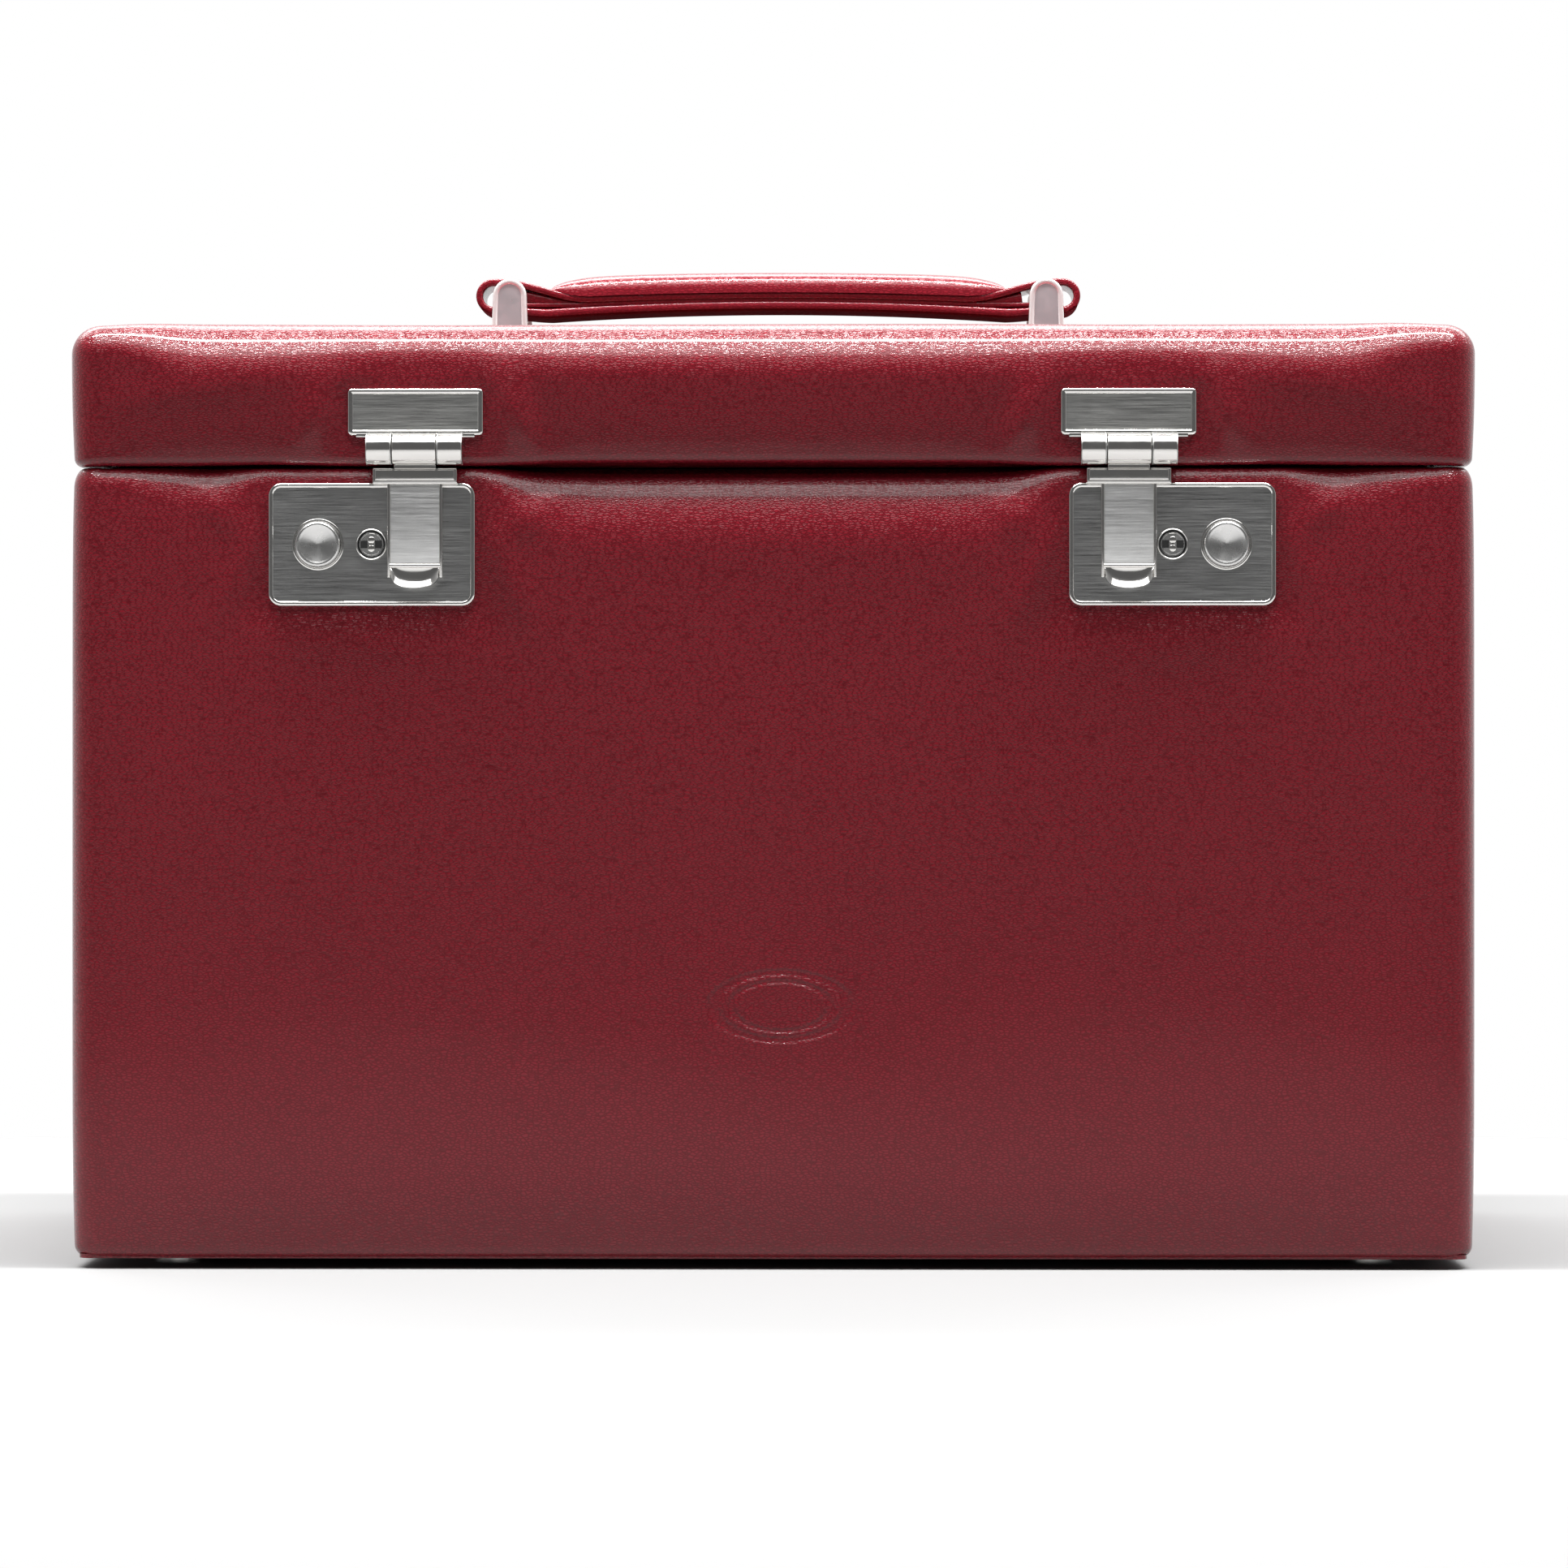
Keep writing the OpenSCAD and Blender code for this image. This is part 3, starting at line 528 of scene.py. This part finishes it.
neck = F2 & (np.abs(np.abs(XX) - HASP_X) < 11.5) & (ZZ > 188)
leaf = B2 & (np.abs(XX) < LEAF_X) & (ZZ > 172.5)
edge = np.zeros(XX.shape, bool)
edge[:4] = True
edge[-4:] = True
fixed = plate | neck | leaf | edge
H = membrane(P, target, fixed, 0.0, 10.0)
AX = np.abs(XX)
loose = ~fixed & F2
H = H + loose * smooth01((AX - 20) / 20) * (
    fold(AX, ZZ, 65, 170, 68, 13, 3.6, 0.62) + fold(AX, ZZ, 59, 182, 140, 13, 3.4, 0.45)
    + fold(AX, ZZ, 128, 171, 112, 12, 3.4, 0.55) + fold(AX, ZZ, 134, 184, 40, 12, 3.2, 0.42)
    + fold(AX, ZZ, 101, 152, 6, 24, 5.0, 0.40))
far = smooth01((np.minimum(np.hypot(AX - LOCK_X, ZZ - LOCK_Z), 60) - 20) / 40)
wave = np.sin(XX / 31.0 + ZZ / 47.0) * np.sin(ZZ / 23.0 + 1.3) + 0.6 * np.sin(YY / 27.0 + ZZ / 19.0)
H = H + (~fixed) * 0.10 * far * wave * smooth01(CD / 20)[None, :]
finish_cover("base_leather", P, H, "case", ["base_cover", "base_padding"], RED)

# lid
R_top = 6.5 + 0.0 * CD
R_top = np.where(FRONT, 6.5 + 5.8 * smooth01(CD / 26), R_top)
R_top = np.where(BACK, 6.5 + 3.0 * smooth01(CD / 26), R_top)
near_hasp = np.exp(-(np.maximum(np.abs(np.abs(X0) - HASP_X) - 15, 0) / 14) ** 2) * FRONT
lift = np.where(FRONT, 0.1 + 0.75 * smooth01(CD / 90) * (1 - near_hasp), 0.25 * smooth01(CD / 40))
z_bot = 194.65 + lift
RB = np.where(BACK, 1.0, 2.2)
rows = []
for k in (4, 3, 2, 1):
    drop = smooth01(k / 4)
    rows.append(loop(1.6 + 2.2 * k, RB + (10.5 - RB) * k / 4, z_bot * (1 - drop) + 194.6 * drop))
for a in np.radians(np.linspace(0, 90, 7)):
    d = RB * (1 - math.sin(a))
    rows.append(loop(2.2 * (1 - math.sin(a)), d, z_bot + RB * (1 - math.cos(a))))
for k in range(1, 11):
    rows.append(loop(0, np.zeros(NCOL), z_bot + RB + (LID_TOP - R_top - z_bot - RB) * k / 10))
for a in np.radians(np.linspace(6, 90, 16)):
    rows.append(loop(6.5 * (1 - math.cos(a)), R_top * (1 - math.cos(a)), LID_TOP - R_top * (1 - math.sin(a))))
NT = 42
for k in range(1, NT + 1):
    s = k / NT
    rows.append(loop(6.5 * (1 - s) + 109.2 * s, R_top * (1 - s) + 109.2 * s, np.full(NCOL, LID_TOP)))
P = np.array(rows)
XX, YY, ZZ = P[..., 0], P[..., 1], P[..., 2]
F2 = np.broadcast_to(FRONT, XX.shape)
B2 = np.broadcast_to(BACK, XX.shape)
S2 = np.broadcast_to(SIDEW, XX.shape)
top_zone = np.zeros(XX.shape, bool)
top_zone[-NT:] = True
target = np.where(F2, 1.5, np.where(S2, 2.1, 0.8))
target = target * smooth01((np.broadcast_to(CD, XX.shape) + 3) / 14) * smooth01((ZZ - 194.6) / 7)
inner = np.minimum(HW - np.abs(XX), HD - np.abs(YY))
target = np.where(top_zone, 0.55 + 0.35 * smooth01((inner - 12) / 22), target)
hump = np.exp(-((np.abs(XX) - 152) / 8) ** 2) * np.exp(-((YY + 96) / 16) ** 2)
target = target + 0.7 * hump * (ZZ > 224)
plate = F2 & (np.abs(np.abs(XX) - HASP_X) < 17.0) & (np.abs(ZZ - CATCH_Z) < 6.2)
kn = F2 & (np.abs(np.abs(XX) - HASP_X) < 12.2) & (ZZ < SEAM + 9) & (ZZ > 195)
leaf = B2 & (np.abs(XX) < LEAF_X) & (ZZ < 214) & (ZZ > 195)
foot = top_zone & (np.abs(np.abs(XX) - (BR_X + 4)) < 11.5) & (np.abs(YY) < 14.5)
edge = np.zeros(XX.shape, bool)
edge[:5] = True
fixed = plate | kn | leaf | foot | edge
H = membrane(P, target, fixed, 0.0, 9.0)
AX = np.abs(XX)
loose = ~fixed & F2 & ~top_zone
H = H + loose * (
    fold(AX, ZZ, 62, 207, 72, 9, 3.4, 0.9) + fold(AX, ZZ, 111, 207, 108, 9, 3.4, 0.8)
    - fold(AX, ZZ, 55, 208, 76, 9, 3.4, 0.35) - fold(AX, ZZ, 86, 218, 0, 22, 3.4, 0.7)
    + fold(AX, ZZ, 140, 213, 172, 20, 4.0, 0.3))
wave = np.sin(XX / 29.0 + 0.7) * np.sin(YY / 33.0 + ZZ / 21.0)
H = H + (~fixed) * 0.10 * wave * smooth01(inner / 25 + 0.2)
finish_cover("lid_leather", P, H, "lid", ["lid_cover", "lid_padding"], RED)


# ---------------------------------------------------------------- lock and hasp metalwork
def pair():
    """The two sides of something made twice: a sign, and the letter that ends its name."""
    return (-1, "a"), (1, "b")


def lock_set(k, tag, hb, bb, kb):
    """The metalwork of one lock. k is -1 on the left and 1 on the right; hb, bb and kb are the
    bodies of the hasp, the button and the key cylinder."""
    x = k * LOCK_X
    r = rim("lock_rim_" + tag, x, LOCK_Z, 50.1, 29.8, 3.1,
            [(0.0, -110.0), (0.0, -111.0), (0.12, -111.25), (0.4, -111.42),
             (0.75, -111.42), (1.05, -111.3), (1.2, -111.1)], NICKEL, "case")
    # push button
    prof = [(5.5, -105.0), (5.5, -112.5), (5.4, -112.85), (5.15, -113.12), (4.85, -113.2), (4.6, -113.14)]
    for t in np.linspace(0.05, 1, 14):
        prof.append((max(4.6 * (1 - t), 0.02), -113.1 + 1.05 * (1 - (1 - t) ** 1.35)))
    b = lathe_y("button_cap_" + tag, k * BUTTON_X, LOCK_Z, prof, SATIN, bb)
    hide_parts("button_" + tag)
    lathe_y("button_ring_" + tag, k * BUTTON_X, LOCK_Z,
            [(6.3, -111.0), (6.25, -111.3), (6.05, -111.42), (5.8, -111.42), (5.62, -111.3), (5.6, -110.9)],
            NICKEL, "case", ring=True)
    # collar and core of the key cylinder
    lathe_y("key_collar_" + tag, x, LOCK_Z,
            [(3.85, -111.0), (3.84, -112.0), (3.75, -112.25),
             (3.6, -112.33), (3.48, -112.25), (3.42, -111.8)],
            NICKEL, "case", ring=True)
    core = lathe_y("key_core_" + tag, x, LOCK_Z,
                   [(3.28, -104.0), (3.28, -111.6), (3.0, -111.65), (2.98, -112.15),
                    (2.86, -112.3), (2.66, -112.3), (2.56, -112.2), (0.05, -112.2)], SATIN, kb)
    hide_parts("key_" + tag)
    # a near-black ring in the gap between collar and core: painted shade
    lathe_y("key_gap_painted_shade_" + tag, x, LOCK_Z, [(3.44, -111.0), (3.44, -111.72), (3.05, -111.72), (3.05, -111.0)],
            SHADE_BLACK, "case", ring=True)
    # the two key slots are near-black boxes on the core's face: painted shade in place of the keyway's hollow
    for s, side in pair():
        mid = x + s * 1.75
        rbox(f"key_slot_{tag}_{side}", mid - 0.85, mid + 0.85, -112.36, -111.9,
             LOCK_Z - 0.95, LOCK_Z + 0.95, SHADE_BLACK, kb, 0.05, 1)
    for s, side in pair():
        lathe_y(f"key_figure_{tag}_{side}", x, LOCK_Z + s * 1.0,
                [(0.85, -112.2), (0.82, -112.45), (0.6, -112.58), (0.05, -112.6)], NICKEL, kb, 24)
    rbox("key_bridge_" + tag, x - 0.3, x + 0.3, -112.5, -112.2, LOCK_Z - 0.8, LOCK_Z + 0.8,
         NICKEL, kb, 0.1, 2)
    # hasp
    hx = k * HASP_X
    yb, yf = TONGUE_BACK, TONGUE_FRONT
    # the tongue wears a near-white copy of the brushed nickel: painted highlight
    tongue = rbox("hasp_tongue_" + tag, hx - 6.0, hx + 6.0, yf, yb, SEAM - 25.2, SEAM - 3.6,
                  BRUSHED_T_PAINTED_LIGHT, hb, 0.15)
    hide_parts("hasp_" + tag)
    for s, side in pair():
        mid = hx + s * 6.3
        rbox(f"hasp_flange_{tag}_{side}", mid - 0.38, mid + 0.38, yf - 0.35, yb,
             SEAM - 27.0, SEAM - 3.9, NICKEL, hb, 0.22, 3)
    rbox("hasp_bar_" + tag, hx - 10.2, hx + 10.2, yf - 0.7, yb, SEAM - 4.4, SEAM - 0.5, NICKEL, hb, 0.35, 3)
    rbox("hasp_bar_step_" + tag, hx - 9.6, hx + 9.6, yf - 0.95, yf - 0.3, SEAM - 3.5, SEAM - 0.9,
         NICKEL, hb, 0.25, 3)
    rbox("hasp_neck_" + tag, hx - 5.1, hx + 5.1, yf - 0.2, yb, SEAM - 3, KN_Z, NICKEL, hb, 0.3, 3)
    cyl_x("hasp_knuckle_" + tag, hx - 5.35, hx + 5.35, KN_Y, KN_Z, 3.9, NICKEL, hb)
    cyl_x("hasp_bead_" + tag, hx - 6.2, hx + 6.2, yf - 0.1, SEAM - 24.1, 0.55, NICKEL, hb, 0.2)
    # finger lip: a shallow scoop with a curved lower edge
    n, down = 44, 11
    v = []
    for back in (False, True):
        for j in range(down):
            t = j / (down - 1)
            for i in range(n + 1):
                u = math.sin(math.pi / 2 * (-1 + 2 * i / n))
                drop = 1.9 + 3.3 * (1 - abs(u) ** 2.3) ** 0.5
                bowl = 0.95 * math.sin(math.pi * t) ** 0.8 * (1 - abs(u) ** 3)
                y = yb - 0.4 * t if back else yf - 0.25 - 1.15 * math.sin(t * 1.45) + bowl
                v.append((hx + 6.1 * u * (1 - 0.05 * t), y, SEAM - 24.4 - (drop - (0.2 if back else 0)) * t))
    wide = n + 1
    off, edge_row = down * wide, (down - 1) * wide
    f = grid_faces(down, wide, False)
    f += [tuple(off + q for q in reversed(face)) for face in grid_faces(down, wide, False)]
    f += [(edge_row + i, edge_row + i + 1, off + edge_row + i + 1, off + edge_row + i) for i in range(n)]
    for i in (0, n):
        for j in range(down - 1):
            here, below = j * wide + i, (j + 1) * wide + i
            f.append((here, below, off + below, off + here))
    mesh("hasp_lip_" + tag, v, f, NICKEL, hb).data.set_sharp_from_angle(angle=math.radians(50))
    # staple behind the tongue
    for part, y_from, z0, z1, bev, seg in (("top", -0.3, 1.0, 3.0, 0.15, 2),
                                           ("low", -0.3, -3.0, -1.0, 0.15, 2),
                                           ("end", 2.1, -2.9, 2.9, 0.1, 1)):
        rbox(f"hasp_staple_{part}_{tag}", hx - 1.5, hx + 1.5, yb + y_from, yb + 2.9,
             STAPLE_Z + z0, STAPLE_Z + z1, STEEL, hb, bev, seg)
    # catch plate: bright rim and rounded outer knuckles
    rim("catch_rim_" + tag, hx, CATCH_Z, 32.9, 11.4, 1.1,
        [(0.0, -110.0), (0.0, -111.0), (0.15, -111.3), (0.45, -111.48),
         (0.85, -111.48), (1.2, -111.34), (1.45, -111.1)], NICKEL, "lid")
    rbox("catch_tab_" + tag, hx - 14.4, hx + 14.4, -111.42, -110.1, CATCH_Z - 6.15, CATCH_Z - 5.0,
         NICKEL, "lid", 0.2, 2)
    for s, side in pair():
        # the outer end stands just proud of the CAD knuckle's, so that the two faces don't coincide
        x0, x1 = sorted((s * 5.5, s * 11.68))
        cyl_x(f"catch_knuckle_{tag}_{side}", hx + x0, hx + x1, KN_Y, KN_Z, 3.95, NICKEL, "lid", 0.5)
    for s, side in pair():
        x0, x1 = sorted((s * 5.6, s * 11.5))
        rbox(f"catch_web_{tag}_{side}", hx + x0, hx + x1, -113.0, -110.1, KN_Z + 1.5, KN_Z + 4.2,
             NICKEL, "lid", 0.3, 2)


lock_set(-1, "left", "hasp_l", "button_l", "key_l")
lock_set(1, "right", "hasp_r", "button_r", "key_r")


# ---------------------------------------------------------------- handle
def arch(x, inset, zlow, n=14):
    """Outline of a bracket cheek, in X and Z."""
    r = 4.3 - inset
    flare = 0.5 * (1 - inset / 4)
    z = zlow + inset * 0.8
    pts = [(x + r * math.cos(a), CHEEK_Z + r * math.sin(a)) for a in np.linspace(0, math.pi, n)]
    return pts + [(x - r - flare, z), (x + r + flare, z)]


for k, tag in ((-1, "left"), (1, "right")):
    x = k * BR_X
    first = None
    for s, end in ((-1, "front"), (1, "back")):
        rounds = ((0.0, 11.0), (0.0, 12.75), (0.12, 13.05), (0.4, 13.25),
                  (0.85, 13.28), (1.15, 13.2), (1.35, 13.04))
        v = []
        for inset, y in rounds:
            outline = arch(x, inset, LID_TOP + 1.0)
            v += [(a, s * y, b) for a, b in outline]
        n = len(outline)
        outer = (len(rounds) - 1) * n
        f = grid_faces(len(rounds), n, True)
        f.append(tuple(range(outer, outer + n)))
        f.append(tuple(reversed(range(n))))
        if s > 0:
            f = [tuple(reversed(q)) for q in f]
        # the cheeks' rims are a half-metallic near-white: painted reflection
        o = mesh(f"bracket_cheek_{tag}_{end}", v, f, GLARE_NICKEL, "lid")
        # the recessed panel: satin nickel, partly painted light grey as painted reflection
        o.data.materials.append(PANEL_PART_GLARE)
        o.data.polygons[len(f) - 2].material_index = 1
        o.data.polygons[len(f) - 2].use_smooth = False
        o.data.set_sharp_from_angle(angle=math.radians(28))
        first = first or o
    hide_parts("bracket_" + tag)
    x0, x1 = sorted((x - k * 5, x + k * 13))
    rbox("bracket_foot_" + tag, x0, x1, -13.0, 13.0, LID_TOP, LID_TOP + 1.5, NICKEL, "lid", 0.4, 3)

STRAP_T = 1.85                      # thickness of the upper run
LOOP = (73.6, LID_TOP + 15.2, 3.6)  # loop round the pin: X, Z and radius
RISE = 49.0                         # from here out the upper run rises to the loop
PAD_TOP = LID_TOP + 21.75


def climb(x):
    """How far the upper run has risen towards its loop, from 0 to 1."""
    return float(smooth01((x - RISE) / (LOOP[0] - RISE) * 1.06))


def z_upper(x):
    x = min(abs(x), RISE)
    return LID_TOP + 15.4 - 1.0 * (x / RISE) ** 2


def z_lower(x):
    return LID_TOP + 12.75 - 2.0 * (min(abs(x), 59) / 59) ** 2


def strap_path(k):
    """One half of the strap, as x, z and thickness.

    It goes out along the top, round the loop and back underneath.
    """
    lx, lz, lr = LOOP
    pts = [(x, z_upper(x), STRAP_T) for x in np.linspace(0, RISE, 28)]
    for t in np.linspace(0.06, 1, 16):
        x = RISE + (lx - RISE) * t
        pts.append((x, z_upper(x) + (lz + lr - z_upper(x)) * float(smooth01(t * 1.06)), STRAP_T))
    for a in np.linspace(80, -80, 18):
        pts.append((lx + lr * math.cos(math.radians(a)), lz + lr * math.sin(math.radians(a)), STRAP_T))
    for t in np.linspace(0, 0.94, 14):
        x = lx + (59 - lx) * t
        pts.append((x, (lz - lr) + (z_lower(59) - lz + lr) * float(smooth01(t)), STRAP_T + 0.6 * t))
    pts += [(x, z_lower(x), 2.45) for x in np.linspace(59, 0, 30)]
    return [(k * x, z, t) for x, z, t in pts]


def inner_path(k):
    """The layer between the two, which shows beside the brackets."""
    pts = []
    for x in np.linspace(0, 70.5, 40):
        between = (z_upper(x) - STRAP_T / 2 + z_lower(x) + 1.22) / 2
        t = float(smooth01((x - 47) / 12))
        pts.append((k * x, between * (1 - t) + (LID_TOP + 12.85) * t, 1.35))
    return pts


def fold_path(k, end):
    """The turned-back end of the strap, which fills the fold between the two layers."""
    pts = []
    for x in np.linspace(42, end, 22):
        t = climb(x)
        top = z_upper(x) + (LOOP[1] + LOOP[2] - z_upper(x)) * t - STRAP_T / 2
        low = LID_TOP + 12.85
        pts.append((k * x, (top + low) / 2, max(top - low, 0.3) * (1 - 0.10 * t)))
    return pts


def sweep_strap(name, path, half_w, mat):
    """A strap with rounded edges along a path in X and Z."""
    n = 28
    path = np.array(path)
    tan = np.gradient(path[:, :2], axis=0)
    tan /= np.linalg.norm(tan, axis=1, keepdims=True)
    v = []
    for (x, z, thick), (tx, tz) in zip(path, tan):
        for i in range(n):
            a = 2 * math.pi * i / n
            c, q = math.cos(a), math.sin(a)
            y = (half_w - thick / 2) * (1 if c > 0 else -1) * min(1, abs(c) * 3.2) + thick / 2 * c
            h = thick / 2 * (abs(q) ** 0.55) * (1 if q > 0 else -1)
            v.append((x - tz * h, y, z + tx * h))
    o = mesh(name, v, grid_faces(len(path), n, True), mat, None)
    o.data.materials.append(UNDERSIDE_SHADED)
    # the flesh side, on the underside of the lower run: matte, and darker than the strap as painted shade
    for i, poly in enumerate(o.data.polygons):
        z, thick = path[i // n, 1], path[i // n, 2]
        if z < LID_TOP + 13.5 and poly.center.z / MM < z - 0.3 * thick:
            poly.material_index = 1
    return o


def pad_half(name, k):
    """One half of the padded grip, rounded over the straps."""
    L, W = 58.8, 10.1
    nx, na = 48, 24
    v = []
    for i in range(nx + 1):
        x = L * math.sin(math.pi / 2 * i / nx)
        e = max(1 - (x / L) ** 12, 0.0) ** 0.5
        t = climb(x)
        base = z_upper(x) + (LOOP[1] + LOOP[2] - z_upper(x)) * t + STRAP_T / 2 - 0.25
        rise = max(PAD_TOP - base - 1.2 * (x / L) ** 2, 0.5)
        for j in range(na + 1):
            a = math.pi * j / na
            y = W * (0.88 + 0.12 * e) * math.copysign(abs(math.cos(a)) ** 0.75, math.cos(a))
            v.append((k * x, y, base + rise * e * math.sin(a) ** 0.66))
    f = grid_faces(nx + 1, na + 1, False)
    if k < 0:
        f = [tuple(reversed(q)) for q in f]
    return mesh(name, v, f, RED_STRAP, None)


for k, tag, body in ((-1, "left", "strap_l"), (1, "right", "strap_r")):
    st = sweep_strap("strap_" + tag, strap_path(k), 9.8, RED_STRAP)
    inner_strap = sweep_strap("strap_inner_" + tag, inner_path(k), 9.3, RED_STRAP)
    folded = sweep_strap("strap_fold_" + tag, fold_path(k, 68 if k < 0 else 63), 9.0, RED_STRAP)
    pd = pad_half("grip_pad_" + tag, k)
    for o in (st, inner_strap, folded, pd):
        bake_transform(o)
    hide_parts("handle_end_" + tag)
    if k < 0:
        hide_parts("handle_core")
    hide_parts("handle_pad")

# ---------------------------------------------------------------- CAD nodes that stay, with their finishes
FINISH = {
    "leather": RED, "lining": SUEDE, "padding": FOAM, "board": WOOD, "brushed_nickel": BRUSHED,
    "polished_nickel": NICKEL, "steel": STEEL, "mirror": MIRROR,
}
slots = {s["node"]: s["material_slot"] for s in frame["record"]["subparts"]}
for name, o in frame["nodes"].items():
    o.data.materials.clear()
    # catch plates get a lighter copy of the same brushed nickel: painted light
    o.data.materials.append(BRUSHED_C_PAINTED_LIGHT if name.startswith("catch_plate") else FINISH[slots[name]])

# ---------------------------------------------------------------- stage, light and camera
sides = 96
turns = np.linspace(0, 2 * math.pi, sides, endpoint=False)
me = bpy.data.meshes.new("floor")
me.from_pydata([(FLOOR_R * math.cos(a), FLOOR_R * math.sin(a) + FLOOR_Y, 0) for a in turns],
               [], [tuple(range(sides))])
floor = bpy.data.objects.new("floor", me)
me.materials.append(Mat("pale_floor", (FLOOR_ALBEDO,) * 3, rough=0.9).m)
bpy.context.scene.collection.objects.link(floor)

world = bpy.data.worlds.new("studio")
bpy.context.scene.world = world
world.use_nodes = True
wt = world.node_tree
bg = wt.nodes["Background"]
# the studio's light: a white sweep behind the case, a dimmer room in front of it; the camera sees plain white
direction = wt.nodes.new("ShaderNodeTexCoord")
split = wt.nodes.new("ShaderNodeSeparateXYZ")
ramp = wt.nodes.new("ShaderNodeMapRange")
ramp.interpolation_type = "SMOOTHSTEP"
ramp.inputs["From Min"].default_value = -0.8
ramp.inputs["From Max"].default_value = 0.9
ramp.inputs["To Min"].default_value = ROOM
ramp.inputs["To Max"].default_value = SWEEP
wt.links.new(direction.outputs["Generated"], split.inputs["Vector"])
wt.links.new(split.outputs["Y"], ramp.inputs["Value"])
seen = wt.nodes.new("ShaderNodeBackground")
seen.inputs["Color"].default_value = (1, 1, 1, 1)
seen.inputs["Strength"].default_value = 1.0
path = wt.nodes.new("ShaderNodeLightPath")
pick = wt.nodes.new("ShaderNodeMixShader")
bg.inputs["Color"].default_value = (1, 1, 1, 1)
wt.links.new(ramp.outputs["Result"], bg.inputs["Strength"])
wt.links.new(path.outputs["Is Camera Ray"], pick.inputs[0])
wt.links.new(bg.outputs["Background"], pick.inputs[1])
wt.links.new(seen.outputs["Background"], pick.inputs[2])
wt.links.new(pick.outputs["Shader"], wt.nodes["World Output"].inputs["Surface"])


def area(name, loc, target, sx, sy, power):
    """A soft light that the camera doesn't see. Metres and watts."""
    d = bpy.data.lights.new(name, "AREA")
    d.shape = "RECTANGLE"
    d.size, d.size_y = sx, sy
    d.energy = power
    o = bpy.data.objects.new(name, d)
    o.location = loc
    o.rotation_mode = "QUATERNION"
    o.rotation_quaternion = (Vector(target) - Vector(loc)).to_track_quat("-Z", "Y")
    o.visible_camera = False
    bpy.context.scene.collection.objects.link(o)


area("overhead", (0.0, -0.19, 1.35), (0, -0.13, 0.2), 1.7, 0.11, 60)
area("front_top", (0.0, -0.72, 1.30), (0, -0.1, 0.2), 1.8, 0.55, 13.5)
area("back", (0.0, 0.80, 1.10), (0, 0.62, 0.0), 2.4, 0.5, 27)

cam_d = bpy.data.cameras.new("camera")
cam = bpy.data.objects.new("camera", cam_d)
bpy.context.scene.collection.objects.link(cam)
cam_d.sensor_width = 36
cam_d.lens = 36 * CAM_AWAY / CAM_FRAME
aim = Vector((0.00295, -HD * MM, CAM_H))
cam.location = (0.024, aim.y - CAM_AWAY, CAM_H)
cam.rotation_mode = "QUATERNION"
cam.rotation_quaternion = (aim - cam.location).to_track_quat("-Z", "Y")
bpy.context.scene.camera = cam
bpy.context.scene.view_settings.view_transform = "Standard"
